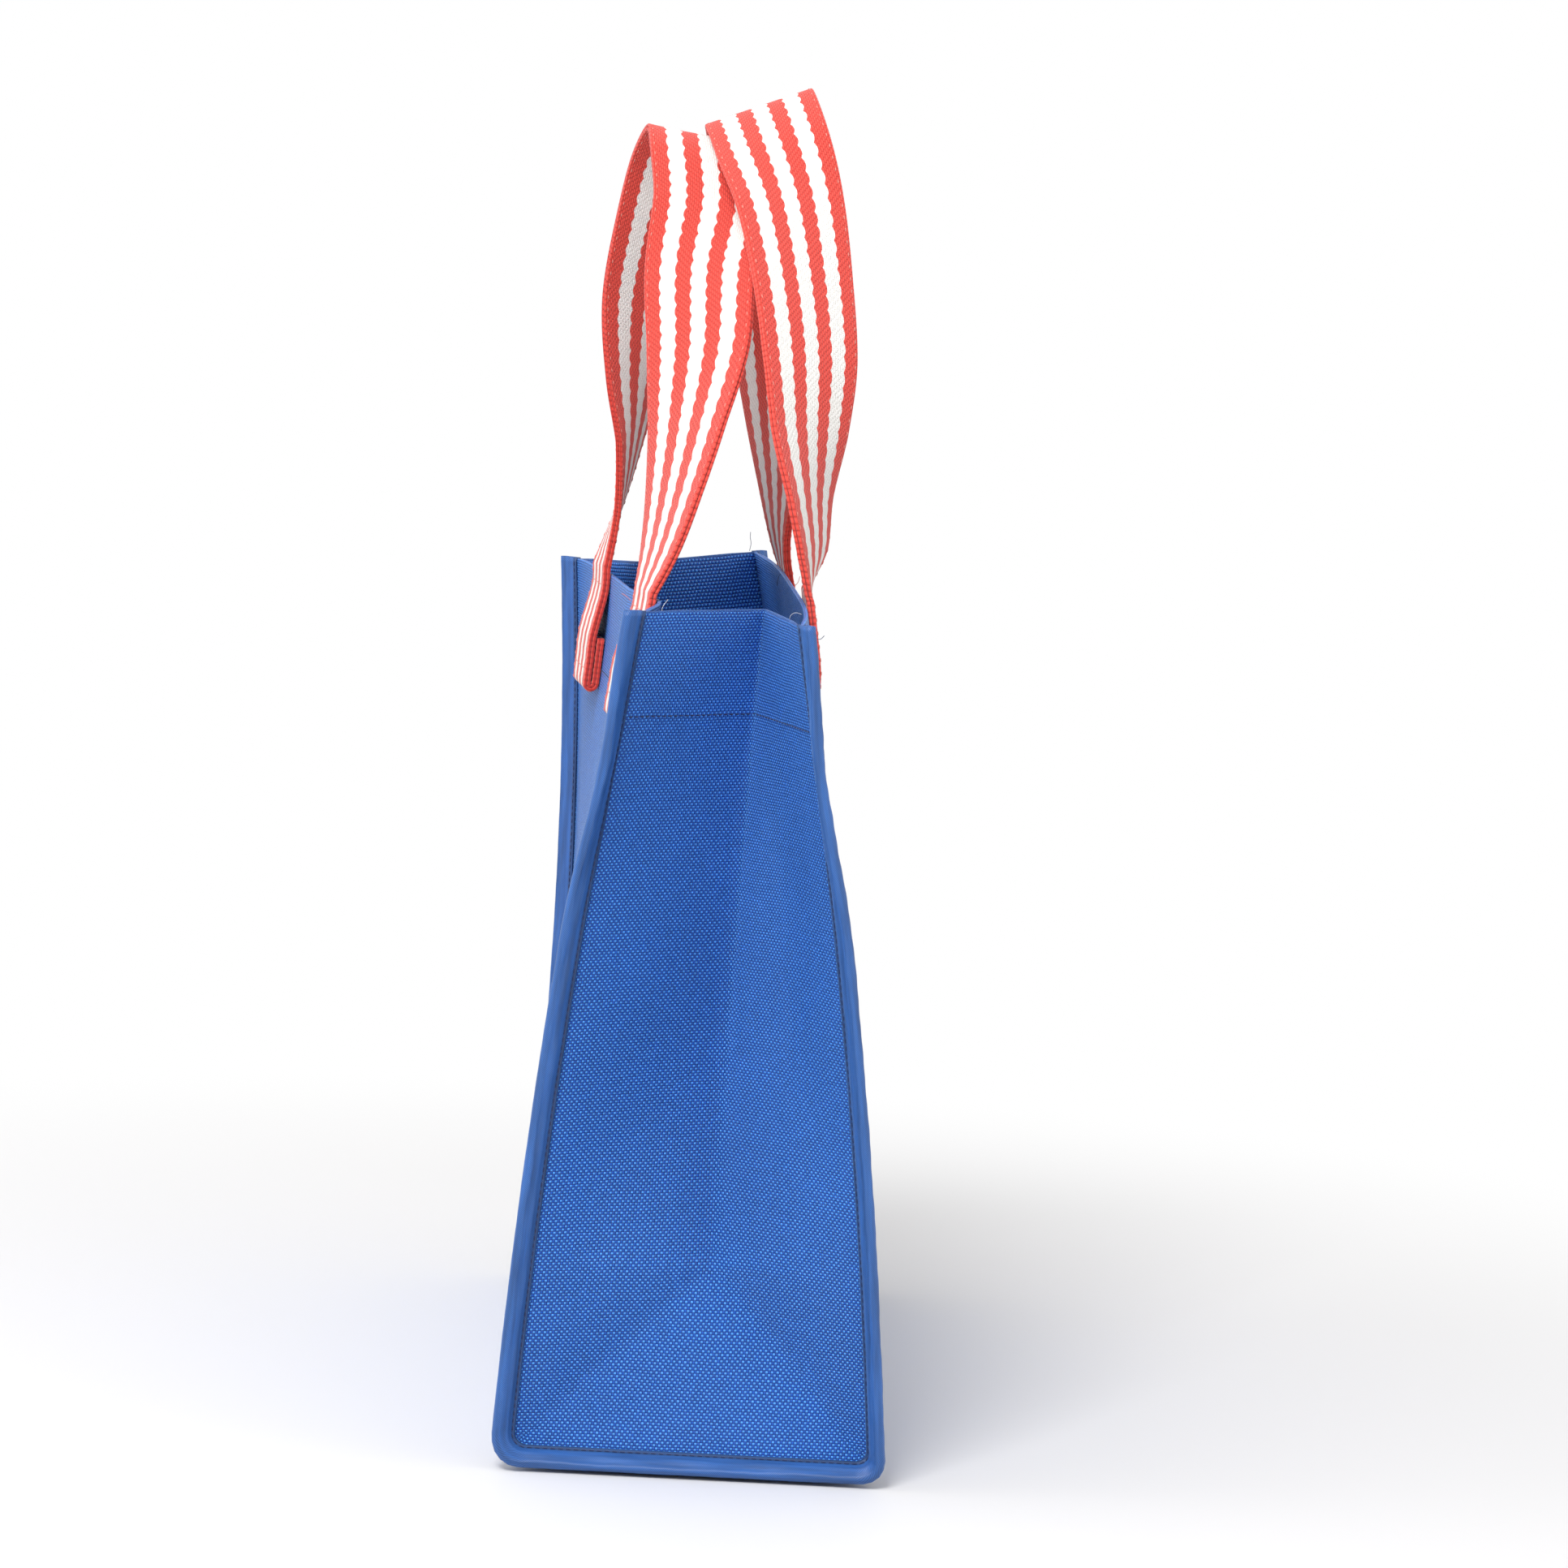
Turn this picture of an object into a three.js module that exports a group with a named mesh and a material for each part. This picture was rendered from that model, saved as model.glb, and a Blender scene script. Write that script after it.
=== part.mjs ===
// A sewn shopping tote: one wrap of woven cloth for the front, base and back, two folded
// gussets, a bias binding over each end seam, and two handles of double striped webbing.
// Millimetres, +Z up. X runs along the bag, Y across it, and the base rests on Z = 0.
import * as THREE from 'three';
import { mergeVertices } from 'three/addons/utils/BufferGeometryUtils.js';

// Cloth body
const PANEL_LENGTH = 375;
const GUSSET_WIDTH = 148;
const BAG_HEIGHT = 356;
const CLOTH = 0.8;
const HEM_DEPTH = 44;
const HEM_TAPER = 20;
const BASE_FOLD_RADIUS = 6;
const BASE_END_RISE = 9;
const BASE_END_RAMP = 45;
const GAP = 0.3;

// Gusset folds
const APEX_HEIGHT = 75;
const APEX_DEPTH = 27;
const CREASE_DEPTH = 63;
const CREASE_DEPTH_POWER = 0.7;

// Seams and bindings
const SEAM_ALLOWANCE = 9;
const BINDING_WIDTH = 11;
const BINDING_CLOTH = 0.6;
const BINDING_EASE = 0.6;
const BINDING_PROUD = 1;
const FIN_ANGLE_FRONT = 38;
const FIN_ANGLE_BASE = 52;
const FIN_ANGLE_BACK = 62;

// Handles
const WEBBING_WIDTH = 50;
const PLY = 1.6;
const FOOT_OFFSET = 88;
const FOOT_DROP = 51;
const FOOT_TUCK = 13;
const FOOT_BLEND = 14;
const FOOT_GAP = 0.6;
const RIM_CLEAR = 4;

// Steps of the bent grids
const WALL_STEPS = 7;
const CREASE_STEPS = 6;
const FOLD_STEPS = 4;
const GUSSET_COLUMNS = 4;
const SOLVE_STEPS = 6;

// How the standing bag leans: where each corner's seam meets the rim, from the base corner
// below it, and how far the panels bow. Front is -Y and back is +Y.
const ENDS = {
  near: {
    side: 1,
    front: { y: 36, x: -4, z: 0, bow: -5 },
    back: { y: -49, x: 12, z: -1, bow: 5 },
    creaseBase: 4.5,
    creaseTop: 12,
  },
  far: {
    side: -1,
    front: { y: 2, x: -10, z: -4, bow: 7 },
    back: { y: -62, x: 8, z: 5, bow: 4 },
    creaseBase: -4,
    creaseTop: -43,
  },
};
const RIM_BOW = { front: 6, back: 7.5 };
const RIM_BOW_START = { front: 0.5, back: 0.8 };

// How far the feet pull each panel off its curve, towards the back: low down beside them, and
// at the rim. Each dent fades out along the panel, and down it from DENT_TOP to DENT_END.
const DENT_END = 0.6;
const DENT_TOP = 0.85;
const DENT_RIM = 0.88;
const DENTS = {
  front: [
    { x: 110, reach: 80, low: 4.5, rim: 7 },
    { x: -130, reach: 65, low: -3.5, rim: -1 },
  ],
  back: [{ x: 90, reach: 75, low: -3.5, rim: 0 }],
};

// Each free length of webbing, from the rim over the top: the middle of the webbing, how far
// its width has turned from along the bag, and how far its width is tipped from level.
const FRONT_HANDLE = {
  panel: 'front',
  turnSign: 1,
  stations: [
    [88, -33, 378, 17, 0],
    [86, -28.5, 402, 26, 0],
    [80, -24.5, 430, 38, 0],
    [68, -21.5, 462, 57, 0],
    [50, -22.5, 496, 68, 0],
    [30, -19.5, 526, 88, -3],
    [12, -22.5, 548, 90, -6],
    [-3, -24.5, 552.5, 91, -7],
    [-22, -30.5, 541, 94, -4],
    [-42, -37, 515, 106, 0],
    [-60, -43.5, 484, 124, 0],
    [-75, -46.5, 450, 147, 0],
    [-85, -48.5, 420, 167, 0],
    [-90, -52.5, 388, 178, 0],
  ],
};
const BACK_HANDLE = {
  panel: 'back',
  turnSign: -1,
  stations: [
    [89, 32, 378, 13, 0],
    [90, 29.5, 402, 22, 0],
    [88, 27.5, 430, 40, 0],
    [80, 26, 462, 52, 3],
    [66, 21, 496, 55, 8],
    [48, 14, 528, 62, 14],
    [26, 5, 554, 83, 20],
    [0, 0, 566.5, 90, 22],
    [-26, 2, 558, 95, 20],
    [-48, 5, 534, 103, 12],
    [-66, 9, 502, 114, 5],
    [-79, 13.5, 468, 127, 0],
    [-87, 16, 434, 146, 0],
    [-90, 19, 404, 159, 0],
    [-90, 21.5, 378, 171, 0],
  ],
};

const STRAP = 2 * PLY + GAP;
const LAYER = (CLOTH + GAP) / 2;
const HALF_WIDTH = GUSSET_WIDTH / 2;
const SEAM_HEIGHT = BAG_HEIGHT - BASE_END_RISE;
const APEX_SHARE = APEX_HEIGHT / SEAM_HEIGHT;
const BINDING_OFFSET = LAYER + CLOTH / 2 + BINDING_EASE + BINDING_CLOTH / 2;
const CORNER_ARC = BASE_FOLD_RADIUS * Math.PI / 2;
const CORNER_TURN = Math.atan2(BASE_FOLD_RADIUS, BASE_FOLD_RADIUS + SEAM_ALLOWANCE);

const UP = new THREE.Vector3(0, 0, 1);

const BLUE = new THREE.Color(0x2b5cc4);
const BINDING_BLUE = new THREE.Color(0x3c69b4);
const RED = new THREE.Color(0xeb4b41);

function smooth(value) {
  return THREE.MathUtils.smoothstep(value, 0, 1);
}

// A cloth sheet is a box one cell thick, bent so that its grid follows the cloth's middle
// surface. middle(i, j) gives a grid point, and reach(i, j, face) how far each of its two
// faces, -1 and 1, stands off it.
function bentSheet(columns, rows, middle, reach, mirrored = false) {
  const box = new THREE.BoxGeometry(1, 1, 1, columns - 1, rows - 1, 1);
  box.deleteAttribute('normal');
  box.deleteAttribute('uv');
  const geometry = mergeVertices(box, 1e-5);
  const grid = [];
  for (let i = 0; i < columns; i += 1) {
    grid.push([]);
    for (let j = 0; j < rows; j += 1) {
      grid[i].push(middle(i, j));
    }
  }
  const place = geometry.attributes.position;
  for (let k = 0; k < place.count; k += 1) {
    const i = Math.round((place.getX(k) + 0.5) * (columns - 1));
    const j = Math.round((place.getY(k) + 0.5) * (rows - 1));
    const face = Math.sign(place.getZ(k));
    const normal = gridNormal(grid, i, j);
    const point = grid[i][j].clone().addScaledVector(normal, reach(i, j, face));
    place.setXYZ(k, point.x, point.y, point.z);
  }
  cutCells(geometry.index, columns - 1, rows - 1, mirrored);
  return facingOut(geometry);
}

// Cuts the cells of both faces along the same diagonals, so that two sheets that lie against
// each other stay parallel where they twist. A mirrored sheet has its two halves cut alike.
function cutCells(index, across, along, mirrored) {
  const faces = index.count - 12 * across * along;
  for (let cell = 0; cell < 2 * across * along; cell += 1) {
    const back = cell >= across * along;
    const column = back ? across - 1 - (cell % across) : cell % across;
    const turned = mirrored && column >= across / 2;
    if (turned !== back) {
      const k = faces + 6 * cell;
      index.setX(k + 2, index.getX(k + 4));
      index.setX(k + 3, index.getX(k));
    }
  }
}

function step(from, to) {
  return new THREE.Vector3().subVectors(to, from).normalize();
}

function gridNormal(grid, i, j) {
  const column = new THREE.Vector3();
  const row = new THREE.Vector3();
  if (i > 0) column.add(step(grid[i - 1][j], grid[i][j]));
  if (i < grid.length - 1) column.add(step(grid[i][j], grid[i + 1][j]));
  if (j > 0) row.add(step(grid[i][j - 1], grid[i][j]));
  if (j < grid[i].length - 1) row.add(step(grid[i][j], grid[i][j + 1]));
  return column.cross(row).normalize();
}

function facingOut(geometry) {
  const place = geometry.attributes.position;
  const index = geometry.index;
  const corners = [new THREE.Vector3(), new THREE.Vector3(), new THREE.Vector3()];
  let volume = 0;
  for (let k = 0; k < index.count; k += 3) {
    corners.forEach((corner, n) => corner.fromBufferAttribute(place, index.getX(k + n)));
    volume += corners[0].dot(corners[1].clone().cross(corners[2]));
  }
  if (volume < 0) {
    for (let k = 0; k < index.count; k += 3) {
      const second = index.getX(k + 1);
      index.setX(k + 1, index.getX(k + 2));
      index.setX(k + 2, second);
    }
  }
  geometry.computeVertexNormals();
  return geometry;
}

// Seams: a gusset's outline is a tall U with rounded base corners. An outline point has its
// place on the flat gusset (y across, z up), the outward direction there and how far
// outside the seam it is.
function onOutline(y, z) {
  const side = y < 0 ? -1 : 1;
  const past = Math.abs(y) - (HALF_WIDTH - BASE_FOLD_RADIUS);
  const below = BASE_FOLD_RADIUS - z;
  if (past > 0 && below > 0) {
    const reach = Math.max(past, below);
    const angle = Math.atan2(below, past);
    const out = [side * Math.cos(angle), -Math.sin(angle)];
    const radius = Math.min(reach, BASE_FOLD_RADIUS);
    return {
      y: side * (HALF_WIDTH - BASE_FOLD_RADIUS) + out[0] * radius,
      z: BASE_FOLD_RADIUS + out[1] * radius,
      out,
      outside: Math.max(0, reach - BASE_FOLD_RADIUS),
    };
  }
  if (below > BASE_FOLD_RADIUS) {
    return { y, z: 0, out: [0, -1], outside: -z };
  }
  if (past > BASE_FOLD_RADIUS) {
    return { y: side * HALF_WIDTH, z, out: [side, 0], outside: past - BASE_FOLD_RADIUS };
  }
  const nearWall = HALF_WIDTH - Math.abs(y) <= z;
  return { y, z, out: nearWall ? [side, 0] : [0, -1], outside: 0 };
}

// The seam line of an end at a share of its height, front or back.
function seamLine(end, panel, share) {
  const lean = end[panel];
  const corner = (panel === 'front' ? -1 : 1) * HALF_WIDTH;
  return new THREE.Vector3(
    end.side * PANEL_LENGTH / 2 + lean.x * share,
    corner + lean.y * share + 4 * lean.bow * share * (1 - share),
    BASE_END_RISE + SEAM_HEIGHT * share + lean.z * share,
  );
}

// The inward fold of a gusset: its crease above the apex, and the apex below it.
function creaseLine(end, share) {
  const middle = seamLine(end, 'front', share).lerp(seamLine(end, 'back', share), 0.5);
  const above = Math.max(0, (share - APEX_SHARE) / (1 - APEX_SHARE));
  const depth = APEX_DEPTH + (CREASE_DEPTH - APEX_DEPTH) * above ** CREASE_DEPTH_POWER;
  middle.x -= end.side * depth;
  middle.y = end.creaseBase + (end.creaseTop - end.creaseBase) * share * share;
  return middle;
}

// A point of a gusset between its seams. Below the apex the two diagonal folds part a
// triangle that leans in from the base.
function gussetPoint(end, y, z) {
  const share = Math.max(0, z) / SEAM_HEIGHT;
  const across = Math.min(1, Math.abs(y) / HALF_WIDTH);
  const panel = y < 0 ? 'front' : 'back';
  const edge = seamLine(end, panel, share);
  if (share >= APEX_SHARE) {
    return creaseLine(end, share).lerp(edge, across);
  }
  const apex = creaseLine(end, APEX_SHARE);
  if (share >= APEX_SHARE * (1 - across)) {
    const shift = apex.clone().sub(seamLine(end, panel, APEX_SHARE));
    return edge.addScaledVector(shift, 1 - across);
  }
  const frontCorner = seamLine(end, 'front', 0);
  const backCorner = seamLine(end, 'back', 0);
  const base = frontCorner.clone().lerp(backCorner, y / GUSSET_WIDTH + 0.5);
  const foot = frontCorner.lerp(backCorner, 0.5);
  return base.addScaledVector(apex.sub(foot), share / APEX_SHARE);
}

// The seam allowances and the binding over them stand out from the seam as one flat fin.
// along is its direction away from the seam and toGusset points from panel to gusset.
function fin(end, outline) {
  const down = Math.max(0, -outline.out[1]);
  const wall = outline.out[0] < 0 ? FIN_ANGLE_FRONT : FIN_ANGLE_BACK;
  const angle = THREE.MathUtils.degToRad(wall + (FIN_ANGLE_BASE - wall) * down);
  const flat = Math.cos(angle);
  const along = new THREE.Vector3(
    end.side * Math.sin(angle), flat * outline.out[0], flat * outline.out[1],
  );
  const run = new THREE.Vector3(0, -outline.out[1], outline.out[0]);
  const toGusset = along.clone().cross(run).multiplyScalar(end.side);
  return { root: gussetPoint(end, outline.y, outline.z), along, toGusset };
}

// The outline again by length from the front rim, round the base, to the back rim.
const WALL_RUN = SEAM_HEIGHT - BASE_FOLD_RADIUS;
const BASE_RUN = GUSSET_WIDTH - 2 * BASE_FOLD_RADIUS;
const WHOLE_RUN = 2 * (WALL_RUN + CORNER_ARC) + BASE_RUN;

function outlineAt(run) {
  const back = run > WHOLE_RUN / 2;
  const side = back ? 1 : -1;
  const length = back ? WHOLE_RUN - run : run;
  if (length <= WALL_RUN) {
    return { y: side * HALF_WIDTH, z: SEAM_HEIGHT - length, out: [side, 0] };
  }
  if (length < WALL_RUN + CORNER_ARC) {
    const angle = (length - WALL_RUN) / BASE_FOLD_RADIUS;
    const out = [side * Math.cos(angle), -Math.sin(angle)];
    return {
      y: side * (HALF_WIDTH - BASE_FOLD_RADIUS) + out[0] * BASE_FOLD_RADIUS,
      z: BASE_FOLD_RADIUS + out[1] * BASE_FOLD_RADIUS,
      out,
    };
  }
  const past = length - WALL_RUN - CORNER_ARC;
  return { y: side * (HALF_WIDTH - BASE_FOLD_RADIUS - past), z: 0, out: [0, -1] };
}

function outlineStations() {
  const wall = [0, 0.5, 0.75, 1].map((share) => HEM_DEPTH * share);
  wall.push(HEM_DEPTH + CLOTH);
  const belowFoot = FOOT_DROP + STRAP;
  for (let k = 0; k <= WALL_STEPS; k += 1) {
    wall.push(belowFoot + (WALL_RUN - belowFoot) * k / WALL_STEPS);
  }
  for (const turn of [CORNER_TURN, Math.PI / 4, Math.PI / 2 - CORNER_TURN, Math.PI / 2]) {
    wall.push(WALL_RUN + BASE_FOLD_RADIUS * turn);
  }
  const base = [-0.25, 0, 0.25].map((share) => WHOLE_RUN / 2 + BASE_RUN * share);
  return [...wall, ...base, ...wall.map((run) => WHOLE_RUN - run).reverse()];
}

const ALONG = outlineStations();

function hemReach(fromRim, fromSeam) {
  return fromRim <= HEM_DEPTH ? CLOTH * smooth(fromSeam / HEM_TAPER) : 0;
}

// Wrap: front panel, base and back panel in one strip. span runs from 0 at the far seam to
// 1 at the near seam.
function wrapSeam(end, outline) {
  const { root, toGusset } = fin(end, outline);
  return root.addScaledVector(toGusset, -LAYER);
}

function dentAt(panel, x, share) {
  const low = smooth((share - DENT_END) / (DENT_TOP - DENT_END));
  const rim = smooth((share - DENT_RIM) / (1 - DENT_RIM));
  return DENTS[panel].reduce((sum, dent) => {
    const depth = dent.low * low + (dent.rim - dent.low) * rim;
    return sum + depth * smooth(1 - Math.abs(x - dent.x) / dent.reach);
  }, 0);
}

function wrapPoint(outline, span) {
  const point = wrapSeam(ENDS.far, outline).lerp(wrapSeam(ENDS.near, outline), span);
  const share = outline.z / SEAM_HEIGHT;
  const fromSeam = Math.min(span, 1 - span) * PANEL_LENGTH;
  const drop = BASE_END_RISE - LAYER * Math.sin(THREE.MathUtils.degToRad(FIN_ANGLE_BASE));
  point.z -= (drop - CLOTH / 2) * smooth(fromSeam / BASE_END_RAMP) * (1 - share) ** 2;
  const panel = outline.y < 0 ? 'front' : 'back';
  const rise = smooth((share - RIM_BOW_START[panel]) / (1 - RIM_BOW_START[panel]));
  point.y += RIM_BOW[panel] * rise * (1 - (2 * span - 1) ** 4);
  point.y += dentAt(panel, (span - 0.5) * PANEL_LENGTH, share);
  return point;
}

function wrapGeometry() {
  const ramp = BASE_END_RAMP / PANEL_LENGTH;
  const taper = HEM_TAPER / PANEL_LENGTH;
  const footEdges = [1, -1].map((k) => 0.5 - (FOOT_OFFSET + k * WEBBING_WIDTH / 2) / PANEL_LENGTH);
  const half = [0, taper / 2, taper, ramp * 0.75, ramp, ...footEdges];
  const spans = [...half, 0.5, ...half.map((span) => 1 - span).reverse()];
  const allowance = [SEAM_ALLOWANCE, SEAM_ALLOWANCE / 2];
  const columns = spans.length + 2 * allowance.length;
  function finAt(i) {
    if (i < allowance.length) {
      return [ENDS.far, allowance[i]];
    }
    if (i >= columns - allowance.length) {
      return [ENDS.near, allowance[columns - 1 - i]];
    }
    return null;
  }
  function middle(i, j) {
    const outline = outlineAt(ALONG[j]);
    const atFin = finAt(i);
    if (atFin) {
      const [end, out] = atFin;
      return wrapSeam(end, outline).addScaledVector(fin(end, outline).along, out);
    }
    return wrapPoint(outline, spans[i - allowance.length]);
  }
  // Face 1 is the one towards the inside of the bag, where the hem is turned in.
  function reach(i, j, face) {
    if (face < 0 || finAt(i)) {
      return face * CLOTH / 2;
    }
    const fromRim = Math.min(ALONG[j], WHOLE_RUN - ALONG[j]);
    const span = spans[i - allowance.length];
    return CLOTH / 2 + hemReach(fromRim, Math.min(span, 1 - span) * PANEL_LENGTH);
  }
  return bentSheet(columns, ALONG.length, middle, reach);
}

// Gussets
function gussetGeometry(end) {
  const corner = HALF_WIDTH - BASE_FOLD_RADIUS;
  const turn = BASE_FOLD_RADIUS * Math.tan(CORNER_TURN);
  const half = [HALF_WIDTH + SEAM_ALLOWANCE, HALF_WIDTH, corner + turn, corner];
  for (let k = GUSSET_COLUMNS - 1; k > 0; k -= 1) {
    half.push(HALF_WIDTH * k / GUSSET_COLUMNS);
  }
  const across = [...half.map((y) => -y), 0, ...half.reverse()];
  const up = [-SEAM_ALLOWANCE, 0, BASE_FOLD_RADIUS - turn, BASE_FOLD_RADIUS];
  for (let k = 1; k <= GUSSET_COLUMNS; k += 1) {
    up.push(APEX_HEIGHT * k / GUSSET_COLUMNS);
  }
  const hemLine = SEAM_HEIGHT - HEM_DEPTH;
  for (let k = 1; k < CREASE_STEPS; k += 1) {
    up.push(APEX_HEIGHT + (hemLine - APEX_HEIGHT) * k / CREASE_STEPS);
  }
  up.push(hemLine - CLOTH, hemLine, SEAM_HEIGHT);
  function middle(i, j) {
    const outline = onOutline(across[i], up[j]);
    const { root, along, toGusset } = fin(end, outline);
    if (outline.outside > 0) {
      return root.addScaledVector(toGusset, LAYER).addScaledVector(along, outline.outside);
    }
    const fromSeam = Math.min(HALF_WIDTH - Math.abs(across[i]), up[j]);
    return root.addScaledVector(toGusset, LAYER * Math.max(0, 1 - fromSeam / HEM_TAPER));
  }
  function reach(i, j, face) {
    const fromRim = SEAM_HEIGHT - up[j];
    const inside = -end.side;
    const extra = face === inside ? hemReach(fromRim, HALF_WIDTH - Math.abs(across[i])) : 0;
    return face * (CLOTH / 2 + extra);
  }
  return bentSheet(across.length, up.length, middle, reach, true);
}

// Bindings: a bias tape folded over both seam allowances, cut off level with the rim.
function bindingGeometry(end) {
  const flat = BINDING_WIDTH - BINDING_OFFSET - BINDING_CLOTH / 2;
  const start = CLOTH / 2;
  const fold = [[start, 1], [flat, 1]];
  for (let k = 1; k < FOLD_STEPS; k += 1) {
    const angle = Math.PI / 2 - Math.PI * k / FOLD_STEPS;
    fold.push([flat + BINDING_OFFSET * Math.cos(angle), Math.sin(angle)]);
  }
  fold.push([flat, -1], [start, -1]);
  const outlines = ALONG.map((run) => outlineAt(run));
  function middle(i, j) {
    const { root, along, toGusset } = fin(end, outlines[j]);
    const [out, aside] = fold[i];
    root.addScaledVector(along, out).addScaledVector(toGusset, aside * BINDING_OFFSET);
    if (j === 0 || j === outlines.length - 1) {
      root.z += BINDING_PROUD;
    }
    return root;
  }
  return bentSheet(fold.length, outlines.length, middle, (i, j, face) => face * BINDING_CLOTH / 2);
}

// Handles
function wallPoint(panel, x, z) {
  let span = 0.5 + x / PANEL_LENGTH;
  let height = z;
  const y = panel === 'front' ? -HALF_WIDTH : HALF_WIDTH;
  const point = new THREE.Vector3();
  for (let k = 0; k < SOLVE_STEPS; k += 1) {
    point.copy(wrapPoint({ y, z: height, out: [Math.sign(y), 0] }, span));
    span += (x - point.x) / PANEL_LENGTH;
    height += z - point.z;
  }
  return point;
}

function rimHeight(panel, x) {
  const span = 0.5 + x / PANEL_LENGTH;
  const y = panel === 'front' ? -HALF_WIDTH : HALF_WIDTH;
  return wrapPoint({ y, z: SEAM_HEIGHT, out: [Math.sign(y), 0] }, span).z;
}

// One end of the webbing: tucked up behind itself, turned at the bottom, and sewn to the
// outside of the panel up to the rim.
function footPath(panel, x) {
  const sign = panel === 'front' ? -1 : 1;
  const rim = rimHeight(panel, x);
  const bottom = rim - FOOT_DROP;
  const bend = (STRAP + GAP) / 2;
  const flush = CLOTH / 2 + FOOT_GAP + STRAP / 2;
  const raised = flush + 2 * bend;
  const path = [[flush, bottom + bend + FOOT_TUCK], [flush, bottom + bend + FOOT_TUCK / 2]];
  for (let k = 0; k <= FOLD_STEPS; k += 1) {
    const angle = Math.PI * k / FOLD_STEPS;
    path.push([flush + bend - bend * Math.cos(angle), bottom + bend - bend * Math.sin(angle)]);
  }
  path.push([raised, bottom + bend + FOOT_TUCK / 2], [raised, bottom + bend + FOOT_TUCK]);
  path.push([flush, bottom + bend + FOOT_TUCK + FOOT_BLEND], [flush, rim + RIM_CLEAR]);
  return path.map(([out, z]) => {
    const middle = wallPoint(panel, x, z);
    const ends = [-1, 1].map((k) => wallPoint(panel, x + k * WEBBING_WIDTH / 2, z));
    const width = step(ends[0], ends[1]);
    middle.y = sign * Math.max(sign * middle.y, sign * (ends[0].y + ends[1].y) / 2);
    middle.addScaledVector(new THREE.Vector3(-sign * width.y, sign * width.x, 0), out);
    return { middle, width };
  });
}

function handlePath(handle) {
  const points = handle.stations.map(([x, y, z]) => new THREE.Vector3(x, y, z));
  const turns = handle.stations.map(([, , , turn, tip]) => new THREE.Vector3(turn, tip, 0));
  const near = footPath(handle.panel, FOOT_OFFSET);
  const far = footPath(handle.panel, -FOOT_OFFSET).reverse();
  far.forEach((station) => station.width.negate());
  const nearTop = near[near.length - 1];
  const farTop = far[0];
  const heading = (width) => THREE.MathUtils.radToDeg(Math.atan2(width.y, width.x));
  const nearTurn = handle.turnSign * heading(nearTop.width);
  const farTurn = handle.turnSign * heading(farTop.width);
  const middle = new THREE.CatmullRomCurve3([nearTop.middle, ...points, farTop.middle]);
  const turning = new THREE.CatmullRomCurve3([
    new THREE.Vector3(nearTurn, 0, 0),
    ...turns,
    new THREE.Vector3(farTurn < 0 ? farTurn + 360 : farTurn, 0, 0),
  ]);
  const steps = 2 * (points.length + 1);
  const free = [];
  for (let k = 1; k < steps; k += 1) {
    const { x: turn, y: tip } = turning.getPoint(k / steps);
    const tipped = THREE.MathUtils.degToRad(tip);
    const width = new THREE.Vector3(Math.cos(tipped), 0, handle.turnSign * Math.sin(tipped));
    width.applyAxisAngle(UP, THREE.MathUtils.degToRad(handle.turnSign * turn));
    free.push({ middle: middle.getPoint(k / steps), width });
  }
  return [...near, ...free, ...far];
}

function plyGeometry(handle, inside, outside) {
  const path = handlePath(handle);
  const across = [-WEBBING_WIDTH / 2, 0, WEBBING_WIDTH / 2];
  function stationFrame(j) {
    const before = path[Math.max(0, j - 1)].middle;
    const after = path[Math.min(path.length - 1, j + 1)].middle;
    const run = step(before, after);
    const width = path[j].width.clone().addScaledVector(run, -path[j].width.dot(run)).normalize();
    const out = run.clone().cross(width).multiplyScalar(-handle.turnSign);
    return { width, out };
  }
  function middle(i, j) {
    const { width, out } = stationFrame(j);
    const point = path[j].middle.clone().addScaledVector(width, across[i]);
    return point.addScaledVector(out, (inside + outside) / 2);
  }
  return bentSheet(across.length, path.length, middle, (i, j, face) => face * (outside - inside) / 2);
}

function piece(name, geometry, color, roughness) {
  const material = new THREE.MeshStandardMaterial({ color, roughness, metalness: 0 });
  const mesh = new THREE.Mesh(geometry, material);
  mesh.name = name;
  return mesh;
}

const bag = new THREE.Group();
bag.add(piece('body_wrap', wrapGeometry(), BLUE, 0.75));
for (const [name, end] of Object.entries(ENDS)) {
  bag.add(piece(`gusset_${name}`, gussetGeometry(end), BLUE, 0.75));
  bag.add(piece(`binding_${name}`, bindingGeometry(end), BINDING_BLUE, 0.5));
}
for (const [name, handle] of Object.entries({ front: FRONT_HANDLE, back: BACK_HANDLE })) {
  bag.add(piece(`handle_${name}_outer_ply`, plyGeometry(handle, GAP / 2, GAP / 2 + PLY), RED, 0.9));
  bag.add(piece(`handle_${name}_inner_ply`, plyGeometry(handle, -GAP / 2 - PLY, -GAP / 2), RED, 0.9));
}

// The origin is under the middle of the whole bag, on the plane that it stands on.
const whole = new THREE.Box3().setFromObject(bag, true);
bag.position.set(-(whole.min.x + whole.max.x) / 2, -(whole.min.y + whole.max.y) / 2, -whole.min.z);

export default bag;
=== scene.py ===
import math

import bmesh
import bpy
import numpy as np
from mathutils import Matrix, Vector


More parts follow.
